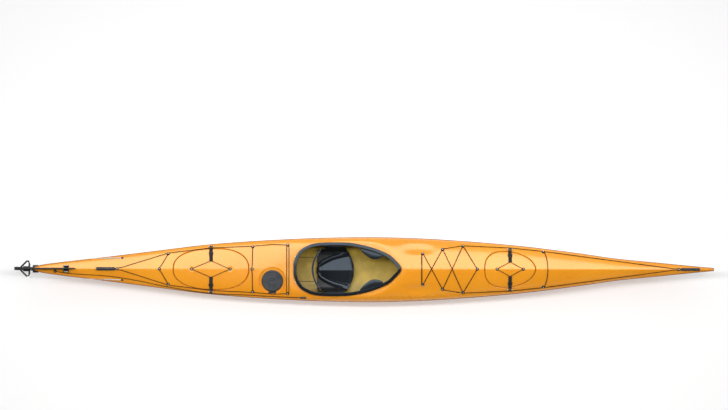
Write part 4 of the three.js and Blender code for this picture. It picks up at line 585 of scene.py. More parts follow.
def rim_loop(name, rings, closed=True):
    along, around = len(rings) if closed else len(rings) - 1, len(rings[0])
    bm = bmesh.new()
    bmesh.ops.create_grid(bm, x_segments=along, y_segments=around, size=1)
    for vert in bm.verts:
        i, k = round((vert.co.x + 1) / 2 * along), round((vert.co.y + 1) / 2 * around)
        vert.co = rings[i % len(rings)][k % around]
    close_up(bm)
    return closed_mesh(name, bm)


tape_paint = new_paint(
    "seam_tape", (0.2, 0.065, 0.012), 0.35,
    tone=(30.0, 3.0, (0.15, 0.05, 0.01), (0.26, 0.085, 0.016)), bump=(300.0, 2.0, 0.2, 0.0006),
)
tape_stops = [i / seam_count for i in range(seam_count + 1)]
tape_rise = Vector((0, 0, seam_height / 2))
tape_rings = []
for share, side in [(stop, 1) for stop in tape_stops] + [(stop, -1) for stop in reversed(tape_stops)]:
    end = -1 if share == 0 else 1 if share == 1 else 0
    level = sheer_at(share) + seam_waver * noise.noise(Vector((share * seam_waves, side, 0)))
    out = side * (half_beam_at(share) + seam_stand_off)
    inner = Vector((x_at(share) + end * seam_stand_off, out, level))
    outer = inner + Vector((end * seam_thickness, side * seam_thickness, 0))
    tape_rings.append([
        inner + tape_rise, outer + seam_feather * tape_rise, outer, outer - seam_feather * tape_rise,
        inner - tape_rise, inner,
    ])
piece("seam_strip", rim_loop("seam_strip", tape_rings), [tape_paint], "hull", "seam", "seam_tape")

# The coaming: a gloss black moulding with a wall that drops into the cockpit and a rolled lip that
# the spray skirt grips. The lip's top falls a little outwards.
coaming_height = 0.025
coaming_depth = 0.014
coaming_softness = 0.004
lip_thickness = 0.005
lip_edge = 0.003
lip_slope = 0.0025
lip_roll = 0.010
lip_fall = 0.0045
coaming_base = [rounded_deck(p.x, p.y) for p in coaming_outline(lip_width - coaming_wall / 2)]


def softened(corners, radius, steps=4):
    count = len(corners)
    line = []
    for i, (a, b) in enumerate(corners):
        at = Vector((a, b))
        before = Vector(corners[i - 1]) - at
        after = Vector(corners[(i + 1) % count]) - at
        reach = min(radius, before.length * 0.45, after.length * 0.45)
        start, stop = at + before.normalized() * reach, at + after.normalized() * reach
        for k in range(steps + 1):
            t = k / steps
            line.append((1 - t) ** 2 * start + 2 * t * (1 - t) * at + t * t * stop)
    return line


gloss_black = new_paint(
    "gloss_black", (0.012, 0.014, 0.017), 0.14, 0.3, wear=(14.0, 4.0, 0.08, 0.26),
    bump=(180.0, 2.0, 0.08, 0.0005), sockets=(("Specular Tint", (0.68, 0.84, 1, 1)),),
)
under_lip = coaming_height - lip_thickness
coaming_section = softened([
    (0, coaming_height - lip_roll), (0, coaming_height - lip_fall), (lip_width, coaming_height),
    (lip_width, -coaming_depth), (lip_width - coaming_wall, -coaming_depth),
    (lip_width - coaming_wall, under_lip), (lip_edge, under_lip - lip_slope),
    (lip_edge, coaming_height - lip_roll),
], coaming_softness)
coaming_rings = []
for inset, rise in coaming_section:
    points = coaming_outline(inset)
    coaming_rings.append([Vector((p.x, p.y, base + rise)) for p, base in zip(points, coaming_base)])
coaming_mesh = rim_loop("coaming", coaming_rings)
piece("coaming", coaming_mesh, [gloss_black], "hull", "coaming_gloss", "cockpit_coaming")

# Screws: stainless pan heads with a socket, at each place where a black fitting is held to the deck.
# All those that ride on the hull are one piece.
screw_profile = [
    (0, 0.0007), (0.0013, 0.0007), (0.0017, 0.0018), (0.0028, 0.0019), (0.0038, 0.0014),
    (0.0042, 0.0006), (0.0042, -0.002),
]
coaming_screws = ((-0.5484, 0.0992), (-0.5436, -0.1056))
spin_reach = 0.00001


def lathe_into(bm, profile, origin, axis, sides=20):
    axis = axis.normalized()
    out = axis.orthogonal().normalized()
    verts = [bm.verts.new(origin + axis * lift + out * radius) for radius, lift in profile]
    edges = [bm.edges.new(pair) for pair in zip(verts, verts[1:])]
    bmesh.ops.spin(
        bm, geom=verts + edges, cent=origin, axis=axis, steps=sides, angle=math.tau, use_merge=True,
    )
    close_up(bm, spin_reach)


steel = new_paint(
    "steel", (0.62, 0.62, 0.61), 0.3, wear=(60.0, 4.0, 0.2, 0.45), sockets=(("Metallic", 1),),
)
screws = bmesh.new()
for x, y in coaming_screws:
    lip_top = Vector((x, y, rounded_deck(x, y) + coaming_height))
    lathe_into(screws, screw_profile, lip_top, Vector((0, 0, 1)))

# The oval hatches: a moulded rim sunk in the deck, a rubber gasket on its ledge, and a cover of the
# deck's own gelcoat that drops flush inside the rim and leaves a dark groove all round. The cover has
# a shallow dish round each of its two eyelets.
rim_wall = 0.004
rim_depth = 0.024
ledge_width = 0.020
ledge_thickness = 0.004
hatch_groove = 0.005
cover_plate = 0.005
cover_inset = 0.001
cover_rings = 60
skirt_width = 0.009
gasket_thickness = 0.004
gasket_width = 0.008
gasket_inset = 0.001
gasket_softness = 0.0018
edge_softness = 0.0024
dish_radius = 0.026
dish_depth = 0.0028
fit_gap = 0.0003


def lifted(points, level):
    return [Vector((p.x, p.y, level(p.x, p.y))) for p in points]


def lid_mesh(name, outline, layers, middle):
    rings = [
        lifted([middle + (point - middle) * share for point in outline], level) for share, level in layers
    ]
    return rim_loop(name, rings, closed=False)


rubber = new_paint(
    "rubber", (0.03, 0.034, 0.038), 0.55, 0.35,
    tone=(12.0, 5.0, (0.017, 0.02, 0.023), (0.034, 0.038, 0.043)), bump=(900.0, 2.0, 0.25, 0.0003),
)
inside_cover = new_paint("inside_cover", (0.7, 0.27, 0.03), 0.5, bump=(220.0, 3.0, 0.3, 0.0008))
for label, hatch in oval_hatches:
    share, length, width = hatch[:3]
    middle = Vector((x_at(share), 0, 0))
    aft_level = rounded_deck(middle.x - length / 2, width / 2)
    seat_slope = (rounded_deck(middle.x + length / 2, width / 2) - aft_level) / length

    def on_seat(lift):
        return lambda x, y: aft_level + seat_slope * (x - middle.x + length / 2) - rim_depth + lift

    def on_deck(lift):
        return lambda x, y: rounded_deck(x, y) + lift

    def dished(x, y):
        near = min(math.hypot(x - middle.x - side * length / 4, y) for side in (1, -1))
        return rounded_deck(x, y) - cover_inset - dish_depth * hump(near / dish_radius)

    ledge = rim_wall + ledge_width
    rim_section = (
        (0, on_deck(-edge_softness)), (edge_softness / 2, on_deck(0)),
        (rim_wall - edge_softness, on_deck(0)), (rim_wall, on_deck(-edge_softness)),
        (rim_wall, on_seat(ledge_thickness + edge_softness)),
        (rim_wall + edge_softness, on_seat(ledge_thickness)),
        (ledge - edge_softness, on_seat(ledge_thickness)), (ledge, on_seat(ledge_thickness / 2)),
        (ledge - edge_softness, on_seat(0)), (0, on_seat(0)),
    )
    rim_rings = [lifted(hatch_outline(hatch, inset), level) for inset, level in rim_section]
    rim_mesh = rim_loop(label + "_rim", rim_rings)
    piece(label + "_rim", rim_mesh, [deck_gelcoat], "hull", "deck_gelcoat", label + "_hatch_rim", crisp=60)

    edge = rim_wall + hatch_groove
    foot = ledge_thickness + fit_gap
    gasket_section = softened([
        (0, 0), (0, gasket_thickness), (gasket_width, gasket_thickness), (gasket_width, 0),
    ], gasket_softness)
    gasket_rings = [
        lifted(hatch_outline(hatch, edge + gasket_inset + a), on_seat(foot + b)) for a, b in gasket_section
    ]
    gasket_mesh = rim_loop(label + "_gasket", gasket_rings)
    piece(label + "_gasket", gasket_mesh, [rubber], "hull", "hatch_rubber", label + "_hatch_gasket")

    half = width / 2 - edge
    skirt_foot = foot + gasket_thickness + fit_gap
    under_plate = -cover_inset - cover_plate
    cover_layers = [(k / cover_rings, dished) for k in range(cover_rings - 2)]
    cover_layers += [
        (1 - 2.5 * edge_softness / half, on_deck(-cover_inset)),
        (1 - edge_softness / half, on_deck(-cover_inset - 0.0002)),
        (1 - 0.3 * edge_softness / half, on_deck(-cover_inset - 0.0008)),
        (1, on_deck(-cover_inset - edge_softness)),
        (1, on_seat(skirt_foot + 0.001)), (1 - 0.001 / half, on_seat(skirt_foot)),
        (1 - skirt_width / half, on_seat(skirt_foot)),
        (1 - skirt_width / half, on_deck(under_plate - 0.002)),
        (1 - (skirt_width + 0.002) / half, on_deck(under_plate)),
    ]
    cover_layers += [(k / 6, on_deck(under_plate)) for k in (5, 4, 3, 2, 1, 0)]
    name, paints = label + "_cover", [deck_gelcoat, inside_cover]
    cover_mesh = lid_mesh(name, hatch_outline(hatch, edge), cover_layers, middle)
    piece(name, cover_mesh, paints, name, "deck_gelcoat", label + "_hatch_cover", crisp=60)
    for face in cover_mesh.polygons:
        if face.normal.z < -0.5:
            face.material_index = 1

# Cords: braided deck line with a round section. Each has its own lengthwise map, in cord diameters
# along and shares round, and the braid is drawn from it.
cord_sides = 12
braid_strands = 4.0
braid_pitch = 0.55


def cord_mesh(name, points, diameter, steps):
    path = smooth_path(points, steps)
    last = len(path) - 1
    tangents = [(path[min(i + 1, last)] - path[max(i - 1, 0)]).normalized() for i in range(len(path))]
    turns = [k / cord_sides * math.tau for k in range(cord_sides)]
    side = tangents[0].orthogonal().normalized()
    rings, runs, run = [], [], 0.0
    for i, (at, tangent) in enumerate(zip(path, tangents)):
        side = (side - tangent * side.dot(tangent)).normalized()
        other = tangent.cross(side)
        outs = [side * math.cos(turn) + other * math.sin(turn) for turn in turns]
        rings.append([at + diameter / 2 * out for out in outs])
        run += (at - path[i - 1]).length if i else 0
        runs.append(run / diameter)
    bm = bmesh.new()
    bmesh.ops.create_grid(bm, x_segments=last, y_segments=cord_sides, size=1)
    wind = bm.loops.layers.uv.new("braid")
    for vert in bm.verts:
        i, k = round((vert.co.x + 1) / 2 * last), round((vert.co.y + 1) / 2 * cord_sides)
        vert.co = rings[i][k % cord_sides]
        for loop in vert.link_loops:
            loop[wind].uv = (runs[i], k / cord_sides)
    close_up(bm)
    return closed_mesh(name, bm)


def braided(name, low, high):
    paint = new_paint(name, low, 0.8, 0.12)
    tree = paint.node_tree
    shader = tree.nodes["Principled BSDF"]
    lay = add_node(tree, "ShaderNodeUVMap", uv_map="braid")
    parts = tree.nodes.new("ShaderNodeSeparateXYZ")
    tree.links.new(lay.outputs["UV"], parts.inputs["Vector"])
    cross = add_node(tree, "ShaderNodeMath", operation="MULTIPLY")
    for i, way in enumerate((1, -1)):
        around = add_node(tree, "ShaderNodeMath", operation="MULTIPLY")
        around.inputs[1].default_value = way * braid_strands * math.tau
        slant = add_node(tree, "ShaderNodeMath", operation="MULTIPLY_ADD")
        slant.inputs[1].default_value = math.tau / braid_pitch
        wave = add_node(tree, "ShaderNodeMath", operation="SINE")
        tree.links.new(parts.outputs["Y"], around.inputs[0])
        tree.links.new(parts.outputs["X"], slant.inputs[0])
        tree.links.new(around.outputs[0], slant.inputs[2])
        tree.links.new(slant.outputs[0], wave.inputs[0])
        tree.links.new(wave.outputs[0], cross.inputs[i])
    tree.links.new(blend_colors(tree, cross.outputs[0], low, high, 0.1, 0.7), shader.inputs["Base Color"])
    add_bump(tree, shader, cross.outputs[0], 0.5, 0.0008)
    return paint


dark_cord = braided("dark_cord", (0.024, 0.013, 0.007), (0.07, 0.038, 0.018))


def cord_piece(name, points, diameter, body, *stands_for, paint=dark_cord, steps=4):
    mesh = cord_mesh(name, points, diameter, steps)
    return piece(name, mesh, [paint], body, "deck_cord", *stands_for)


# Deck fittings: black moulded domes, each screwed down through its middle, with the cord passing
# through below the screw. Each dome stands square to the deck.
fitting_radius = 0.013
fitting_height = 0.011
normal_step = 0.004
dome_profile = [
    (0.0, -0.003), (fitting_radius, -0.003), (fitting_radius, 0.0012), (0.0124, 0.0022), (0.0108, 0.0052),
    (0.0088, 0.0084), (0.0076, 0.0101), (0.0066, 0.0108), (0.0052, 0.0110), (0.0048, 0.0102),
    (0.0, 0.0102),
]
rear_aft = x_at(rear_hatch[0]) - rear_hatch[1] / 2
cockpit_end = cockpit_aft + cockpit_length
fore_deck = x_at(front_hatch[0]) - front_hatch[1] / 2 - cockpit_end


def both_sides(x, out):
    return [Vector((x, side * out * half_beam_at(station_at(x)), 0)) for side in (1, -1)]


stern_edge = both_sides(rear_aft - 0.035, 0.78)
aft_middle = both_sides(x_at(0.3211), 0.8)
cockpit_side = both_sides(x_at(0.373), 0.81)
fore_first = both_sides(cockpit_end + 0.2584 * fore_deck, 0.496)
fore_second = both_sides(cockpit_end + 0.4994 * fore_deck, 0.66)
fore_third = both_sides(cockpit_end + 0.7461 * fore_deck, 0.81)
bow_edge = both_sides(x_at(0.7498), 0.84)
stern_ridge = Vector((rear_aft - 0.105, 0, 0))
hatch_ridge = Vector((x_at(0.3203), 0, 0))
fore_ridge = Vector((cockpit_end + 0.918 * fore_deck, 0, 0))
stern_knot = Vector((x_at(0.1213), 0, 0))
bow_knot = Vector((x_at(0.949), 0, 0))
haul_guide = Vector((x_at(0.03), -0.45 * half_beam_at(0.03), 0))
black_plastic = new_paint(
    "black_plastic", (0.02, 0.02, 0.019), 0.42, 0.22,
    tone=(25.0, 4.0, (0.012, 0.013, 0.014), (0.026, 0.027, 0.028)), wear=(40.0, 3.0, 0.32, 0.55),
    bump=(1500.0, 2.0, 0.2, 0.0002),
)


def deck_normal(x, y):
    ahead = rounded_deck(x + normal_step, y) - rounded_deck(x - normal_step, y)
    aside = rounded_deck(x, y + normal_step) - rounded_deck(x, y - normal_step)
    return Vector((-ahead, -aside, 2 * normal_step)).normalized()


def dome_on(bm, screws_bm, x, y, drop=0.0):
    normal = deck_normal(x, y)
    at = Vector((x, y, rounded_deck(x, y) - drop))
    lathe_into(bm, dome_profile, at, normal, 28)
    lathe_into(screws_bm, screw_profile, at + normal * (fitting_height - 0.001), normal)


domes = bmesh.new()
for at in (
    *stern_edge, *aft_middle, *cockpit_side, *fore_first, *fore_second, *fore_third, *bow_edge,
    stern_ridge, hatch_ridge, fore_ridge, stern_knot, bow_knot, haul_guide,
):
    dome_on(domes, screws, at.x, at.y)
dome_mesh = closed_mesh("deck_fittings", domes)
piece("deck_fittings", dome_mesh, [black_plastic], "hull", "black_plastic", crisp=45)

# Deck lines: the perimeter lines that a swimmer holds, the bungees that hold charts and spare
# paddles, and the thicker paddle line. Each runs a little above the skin from fitting to fitting.
line_diameter = 0.0055
bungee_diameter = 0.006
paddle_diameter = 0.008
rest_gap = 0.0018
turn_radius = 0.006
knot_inset = 0.006
cross_loop = 0.009
paddle_gap = 0.0013
tab_reach = 0.193
anchor_reach = 0.017
arc_reach = 0.034
arc_count = 32
hop_reach = 0.064
path_span = 0.03


def on_skin(x, y, lift):
    return Vector((x, y, rounded_deck(x, y) + lift))


def through(places, lift):
    points = []
    for i, (start, stop) in enumerate(zip(places, places[1:])):
        steps = max(2, round((stop - start).length / path_span))
        for k in range(0 if i == 0 else 1, steps + 1):
            at = start.lerp(stop, k / steps)
            points.append(on_skin(at.x, at.y, lift))
    return points


def toward(place, other, distance):
    return place + (other - place).normalized() * distance


def turn_around(before, at, after, radius, lift, steps=6):
    into, out = (before - at).normalized(), (after - at).normalized()

    def square(line, other):
        side = Vector((-line.y, line.x, 0))
        return side if side.dot(other) < 0 else -side

    def wrapped(angle):
        return math.atan2(math.sin(angle), math.cos(angle))

    first, last = square(into, out), square(out, into)
    away = math.atan2(-into.y - out.y, -into.x - out.x)
    start = away + wrapped(math.atan2(first.y, first.x) - away)
    stop = away + wrapped(math.atan2(last.y, last.x) - away)
    points = []
    for k in range(steps + 1):
        angle = start + (stop - start) * k / steps
        points.append(on_skin(at.x + radius * math.cos(angle), at.y + radius * math.sin(angle), lift))
    return points


def outboard(place):
    return Vector((place.x, place.y + math.copysign(knot_inset, place.y), 0))


line_lift = line_diameter / 2 + rest_gap
bungee_lift = bungee_diameter / 2 + rest_gap


def round_knot(half, knot):
    port, starboard = half(0), half(1)
    starboard.reverse()
    into = through([*port, toward(knot, port[-1], turn_radius)], line_lift)
    out = through([toward(knot, starboard[0], turn_radius), *starboard], line_lift)
    return into[:-1] + turn_around(port[-1], knot, starboard[0], turn_radius, line_lift) + out[1:]


def stern_half(k):
    side = 1 - 2 * k
    tab_pass = Vector((day_centre.x, side * (tab_reach + line_diameter), 0))
    strap_pass = Vector((x_at(rear_hatch[0]), side * rear_hatch[2] / 2, 0))
    start = toward(cockpit_side[k], tab_pass, knot_inset)
    return [start, tab_pass, outboard(aft_middle[k]), strap_pass, outboard(stern_edge[k])]


def bow_half(k):
    anchor_out = front_hatch[2] / 2 + anchor_reach + line_diameter
    anchor_pass = Vector((x_at(front_hatch[0]), (1 - 2 * k) * anchor_out, 0))
    return [outboard(fore_second[k]), outboard(fore_third[k]), anchor_pass, outboard(bow_edge[k])]


def vee(ends, apex):
    first, last = toward(ends[0], apex, knot_inset), toward(ends[1], apex, knot_inset)
    into = through([first, toward(apex, first, turn_radius)], bungee_lift)
    out = through([toward(apex, last, turn_radius), last], bungee_lift)
    return into[:-1] + turn_around(ends[0], apex, ends[1], turn_radius, bungee_lift) + out[1:]


for name, points, diameter, steps, solid in (
    ("stern_line", round_knot(stern_half, stern_knot), line_diameter, 2, "stern_perimeter_line"),
    ("bow_line", round_knot(bow_half, bow_knot), line_diameter, 2, "bow_perimeter_line"),
    ("stern_vee", vee(stern_edge, stern_ridge), bungee_diameter, 3, "stern_vee_bungee"),
    ("aft_vee", vee(aft_middle, hatch_ridge), bungee_diameter, 3, "aft_vee_bungee"),
):
    cord_piece(name, points, diameter, "hull", solid, steps=steps)

loop_x = cockpit_side[0].x
near_y, far_y = cockpit_side[0].y - knot_inset, cockpit_side[1].y + knot_inset + cross_loop
cross_runs = []
for x, first, last in ((loop_x - cross_loop, near_y, far_y), (loop_x + cross_loop, far_y, near_y)):
    cross_runs.append(through([Vector((x, first, 0)), Vector((x, last, 0))], bungee_lift))
loop_end = []
for k in range(1, 8):
    turn = math.pi * (1 + k / 8)
    x, y = loop_x + cross_loop * math.cos(turn), far_y + cross_loop * math.sin(turn)
    loop_end.append(on_skin(x, y, bungee_lift))
cross_points = cross_runs[0] + loop_end + cross_runs[1]
cord_piece("cockpit_cross", cross_points, bungee_diameter, "hull", "cockpit_bungee", steps=2)

paddle_ends = [
    Vector((p.x - paddle_diameter, p.y - math.copysign(knot_inset, p.y), 0)) for p in fore_first
]
paddle_points = through(paddle_ends, paddle_diameter / 2 + paddle_gap)
cord_piece("paddle_cord", paddle_points, paddle_diameter, "hull", "paddle_line")

bow_arc = []
for k in range(arc_count + 1):
    at = outboard(bow_edge[0]).lerp(outboard(bow_edge[1]), k / arc_count)
    ahead = arc_reach * abs(math.sin(math.pi * k / arc_count)) ** 0.6
    bow_arc.append(on_skin(at.x + ahead, at.y, bungee_lift))
cord_piece("bow_cross", bow_arc, bungee_diameter, "hull", "bow_bungee", steps=2)

holds = [
    *(outboard(post) for post in (fore_first[0], fore_second[1], fore_third[0])), fore_ridge,
    *(outboard(post) for post in (fore_third[1], fore_second[0], fore_first[1])),
]
zigzag = []
for i, (start, stop) in enumerate(zip(holds, holds[1:])):
    begin = start if i == 0 else toward(start, stop, 2 * turn_radius)
    end = stop if i == len(holds) - 2 else toward(stop, start, 2 * turn_radius)
    leg = through([begin, end], bungee_lift)
    if i >= 3 and begin.y * end.y < 0:
        crossing = begin.lerp(end, begin.y / (begin.y - end.y))
        for point in leg:
            away = math.hypot(point.x - crossing.x, point.y) / hop_reach
            point.z += (bungee_diameter + rest_gap) * hump(away)
    zigzag += leg
    if i < len(holds) - 2:
        zigzag += turn_around(start, stop, holds[i + 2], turn_radius, bungee_lift)
cord_piece("fore_zigzag", zigzag, bungee_diameter, "hull", "fore_zigzag_bungee", steps=2)

# Hatch straps: each hatch has a diamond of cord sewn to two short webs, and a strap with a ladder
# buckle on each side that hooks to an anchor screwed to the deck.
web_width = 0.028
web_thickness = 0.002
web_softness = 0.0006
web_rest = 0.0007
web_rise = 0.008
web_loop = ((-0.004, 0.007), (0, 0.0085), (0.005, 0.0068))
web_foot = 0.009
web_lap = 0.003
web_gap = 0.0007
strap_inset = 0.005
strap_split_share = 0.67
strap_end_share = 0.39
strap_count = 24
buckle_length = 0.024
buckle_width = 0.036
buckle_height = 0.007
anchor_length = 0.009
anchor_width = 0.044
anchor_height = 0.014
anchor_gap = 0.003
cover_cord = 0.005
diamond_turn = 0.002
diamond_clear = 0.006
webbing = new_paint("webbing", (0.022, 0.023, 0.021), 0.8, 0.12)
web_tree = webbing.node_tree
web_shader = web_tree.nodes["Principled BSDF"]
web_place = web_tree.nodes.new("ShaderNodeTexCoord")
web_rib = add_node(web_tree, "ShaderNodeTexWave", Scale=320.0, bands_direction="DIAGONAL", Distortion=1.0)
web_height = web_rib.outputs["Fac"]
web_tone = blend_colors(web_tree, web_height, (0.013, 0.014, 0.013), (0.042, 0.044, 0.04), 0.2, 0.8)
web_tree.links.new(web_place.outputs["Object"], web_rib.inputs["Vector"])
web_tree.links.new(web_tone, web_shader.inputs["Base Color"])
add_bump(web_tree, web_shader, web_height, 0.6, 0.0008)


def band(name, points):
    half, last = web_width / 2, len(points) - 1
    corners = [(-half, 0), (half, 0), (half, web_thickness), (-half, web_thickness)]
    section = softened(corners, web_softness, 2)
    across = Vector((1, 0, 0))
    rings = []
    for i, at in enumerate(points):
        along = (points[min(i + 1, last)] - points[max(i - 1, 0)]).normalized()
        up = across.cross(along).normalized()
        up = up if up.z > 0 else -up
        rings.append([at + across * out + up * rise for out, rise in section])
    return rim_loop(name, rings, closed=False)


def block_into(bm, size, centre, frame_axes=None):
    made = bmesh.ops.create_cube(bm, size=1)["verts"]
    turn = frame_axes.to_4x4() if frame_axes else Matrix.Identity(4)
    place = Matrix.Translation(centre) @ turn @ Matrix.Diagonal((*size, 1))
    bmesh.ops.transform(bm, matrix=place, verts=made)


def bevelled(name, bm, width, segments=3, angle=30):
    mesh = applied(closed_mesh(name, bm), ("BEVEL", {
        "width": width, "segments": segments, "limit_method": "ANGLE",
        "angle_limit": math.radians(angle), "use_clamp_overlap": True,
    }))
    mesh.name = name
    return mesh


anchors = bmesh.new()
for label, hatch in oval_hatches:
    share, length, width = hatch[:3]
    x = x_at(share)
    cover = label + "_cover"
    hinge_y = width / 2 + strap_inset
    split_y = strap_split_share * width / 2
    end_y = strap_end_share * width / 2
    cover_edge = width / 2 - rim_wall - hatch_groove
    lift = cover_cord / 2 + rest_gap
    knot = knot_inset / 2
    corners = [Vector((x + along, out, 0)) for along, out in (
        (knot - length / 4, knot), (0, end_y), (length / 4, 0), (0, -end_y), (knot - length / 4, -knot),
    )]
    diamond = [on_skin(corners[0].x, corners[0].y, lift)]
    for before, corner, after in zip(corners, corners[1:], corners[2:]):
        leg = [toward(before, corner, 2 * diamond_clear), toward(corner, before, diamond_clear)]
        diamond += through(leg, lift) + turn_around(before, corner, after, diamond_turn, lift, 4)
    leg = [toward(corners[3], corners[4], diamond_clear), toward(corners[4], corners[3], diamond_clear)]
    diamond += through(leg, lift) + [on_skin(corners[4].x, corners[4].y, lift)]
    cord_piece(label + "_diamond", diamond, cover_cord, cover, label + "_hatch_harness", steps=2)

    eyelets, eyelet_screws = bmesh.new(), bmesh.new()
    for end in (x - length / 4, x + length / 4):
        dome_on(eyelets, eyelet_screws, end, 0, cover_inset + dish_depth)
    eyelet_mesh = closed_mesh(label + "_eyelets", eyelets)
    piece(label + "_eyelets", eyelet_mesh, [black_plastic], cover, "black_plastic", crisp=45)
    screw_mesh = closed_mesh(label + "_cover_screws", eyelet_screws)
    piece(label + "_cover_screws", screw_mesh, [steel], cover, "stainless")

    for side_name, side in (("port", 1), ("starboard", -1)):
        def web_at(y, rise=0.0):
            return Vector((x, side * y, rounded_deck(x, y) + web_rest + rise))

        inner = [web_at(end_y + out, rise) for out, rise in web_loop]
        foot_y, stop_y = end_y + web_foot, split_y - web_gap
        for k in range(9):
            inner.append(web_at(foot_y + (stop_y - foot_y) * k / 8, web_thickness * (1 - k / 8)))
        name = f"{label}_web_{side_name}"
        piece(name, band(name, inner), [webbing], cover, "webbing")

        body = f"{label}_strap_{side_name}"
        strap = f"{label}_hatch_strap_{side_name}"
        start_y, stop_y = hinge_y - web_thickness, split_y + web_lap
        outer = []
        for k in range(strap_count + 1):
            y = start_y + (stop_y - start_y) * k / strap_count
            raised = min(max((y - cover_edge) / web_rise + 1, 0), 1)
            outer.append(web_at(y, (web_rise - web_rest) * raised * raised * (3 - 2 * raised)))
        name = f"{label}_strap_web_{side_name}"
        piece(name, band(name, outer), [webbing], body, "webbing", strap)

        buckle = bmesh.new()
        middle_y = split_y + buckle_length / 2
        climb = rounded_deck(x, middle_y + 0.01) - rounded_deck(x, middle_y - 0.01)
        ahead, slope = Vector((1, 0, 0)), Vector((0, side * 0.02, climb)).normalized()
        axes = Matrix((ahead, slope, ahead.cross(slope))).transposed()
        centre = web_at(middle_y, buckle_height / 2)
        cheek = (0.004, buckle_length - 0.001, buckle_height)
        end_bar = (buckle_width, 0.0045, buckle_height - 0.001)
        middle_bar = (buckle_width - 0.004, 0.004, buckle_height - 0.002)
        for out in (-1, 1):
            block_into(buckle, cheek, centre + ahead * out * (buckle_width / 2 - 0.002), axes)
            block_into(buckle, end_bar, centre + slope * out * (buckle_length / 2 - 0.003), axes)
        block_into(buckle, middle_bar, centre + axes.col[2] * 0.001, axes)
        name = f"{label}_buckle_{side_name}"
        piece(name, bevelled(name, buckle, 0.0009), [black_plastic], body, "black_plastic", strap, crisp=50)

        y = side * (hinge_y + anchor_gap + anchor_length / 2)
        top = rounded_deck(x, hinge_y) + web_rise + web_thickness
        plate = (anchor_width, anchor_length, anchor_height)
        hook = (web_width, anchor_gap + 0.003, 0.003)
        block_into(anchors, plate, Vector((x, y, top - anchor_height / 2)))
        block_into(anchors, hook, Vector((x, y - side * anchor_length / 2, top - 0.0135)))
        for out in (-0.017, 0.017):
            lathe_into(screws, screw_profile, Vector((x + out, y, top)), Vector((0, 0, 1)))
anchor_mesh = bevelled("strap_anchors", anchors, 0.001)
piece("strap_anchors", anchor_mesh, [black_plastic], "hull", "black_plastic", crisp=50)

# The day hatch: a round recess that leans with the deck, a neck, and a rubber cap with rings moulded
# in its top and a pull tab on its outboard side. The recess's rings are each a radius, whether they
# follow the deck or the recess's floor, and a rise above it.
recess_depth = 0.006
neck_radius = 0.080
neck_height = 0.012
cap_radius = 0.086
cap_top = 0.018
cap_skirt = 0.003
cap_skin = 0.004
cap_grip = 1.004 * neck_radius / cap_radius
recess_profile = (
    (0.112, True, -0.001), (0.1115, True, 0), (0.109, True, 0), (0.108, True, -0.001),
    (0.108, False, 0.002), (0.106, False, 0), (0.0815, False, 0), (0.080, False, 0.0015),
    (0.080, False, 0.011), (0.0792, False, 0.012), (0.0768, False, 0.012), (0.076, False, 0.011),
    (0.076, False, -0.004), (0.112, False, -0.004),
)
cap_top_profile = (
    (0, -0.0006), (0.3, -0.0006), (0.34, 0.0), (0.37, 0.0), (0.41, -0.0006), (0.6, -0.0006), (0.63, 0.0),
    (0.66, 0.0), (0.69, -0.0006), (0.8, -0.0006), (0.82, 0.0), (0.86, 0.0), (0.9, -0.0002), (0.94, -0.0008),
    (0.97, -0.002), (0.99, -0.0036), (1, -0.006),
)
cap_side_profile = (
    (1, 0.0075), (0.985, 0.0068), (0.985, 0.0058), (1, 0.005), (1, cap_skirt), (cap_grip, cap_skirt),
    (cap_grip, neck_height + fit_gap), (0, neck_height + fit_gap),
)
tab_size = (0.060, 0.019, cap_skin)
tab_out = 0.0035
tab_rib = (0.050, 0.0011, 0.0014)
tab_rib_count = 4
tab_rib_out = 0.003
tab_rib_pitch = 0.0025
inboard_level = rounded_deck(day_centre.x, day_centre.y + day_recess_radius)
outboard_level = rounded_deck(day_centre.x, day_centre.y - day_recess_radius)
day_lean = (inboard_level - outboard_level) / (2 * day_recess_radius)


def recess_floor(y):
    return (inboard_level + outboard_level) / 2 - recess_depth + day_lean * (y - day_centre.y)


def on_recess(lift):
    return lambda x, y: recess_floor(y) + lift


recess_edge = [rounded_deck(p.x, p.y) for p in day_outline(day_recess_radius)]
recess_rings = []
for radius, is_deck, rise in recess_profile:
    ring = []
    for point, level in zip(day_outline(radius), recess_edge):
        ring.append(Vector((point.x, point.y, (level if is_deck else recess_floor(point.y)) + rise)))
    recess_rings.append(ring)
recess_mesh = rim_loop("day_recess", recess_rings)
piece("day_recess", recess_mesh, [deck_gelcoat], "hull", "deck_gelcoat", "day_hatch_rim", crisp=40)

cap_layers = [(share, on_recess(cap_top + lift)) for share, lift in cap_top_profile]
cap_layers += [(share, on_recess(lift)) for share, lift in cap_side_profile]
cap_mesh = lid_mesh("day_cap", day_outline(cap_radius), cap_layers, day_centre)
piece("day_cap", cap_mesh, [rubber], "day_cover", "hatch_rubber", "day_hatch_cover", crisp=55)
tab_bm = bmesh.new()
tab_y = day_centre.y - cap_radius
tab_turn = Matrix.Rotation(math.atan(day_lean), 3, "X")
tab_level = recess_floor(tab_y) + cap_skirt + cap_skin / 2
block_into(tab_bm, tab_size, Vector((day_centre.x, tab_y - tab_out, tab_level)), tab_turn)
for k in range(tab_rib_count):
    rib_y = tab_y - tab_rib_out - tab_rib_pitch * k
    block_into(tab_bm, tab_rib, Vector((day_centre.x, rib_y, tab_level + cap_skin / 2)), tab_turn)
tab_mesh = bevelled("day_tab", tab_bm, 0.0005)
piece("day_tab", tab_mesh, [rubber], "day_cover", "hatch_rubber", "day_hatch_cover", crisp=50)

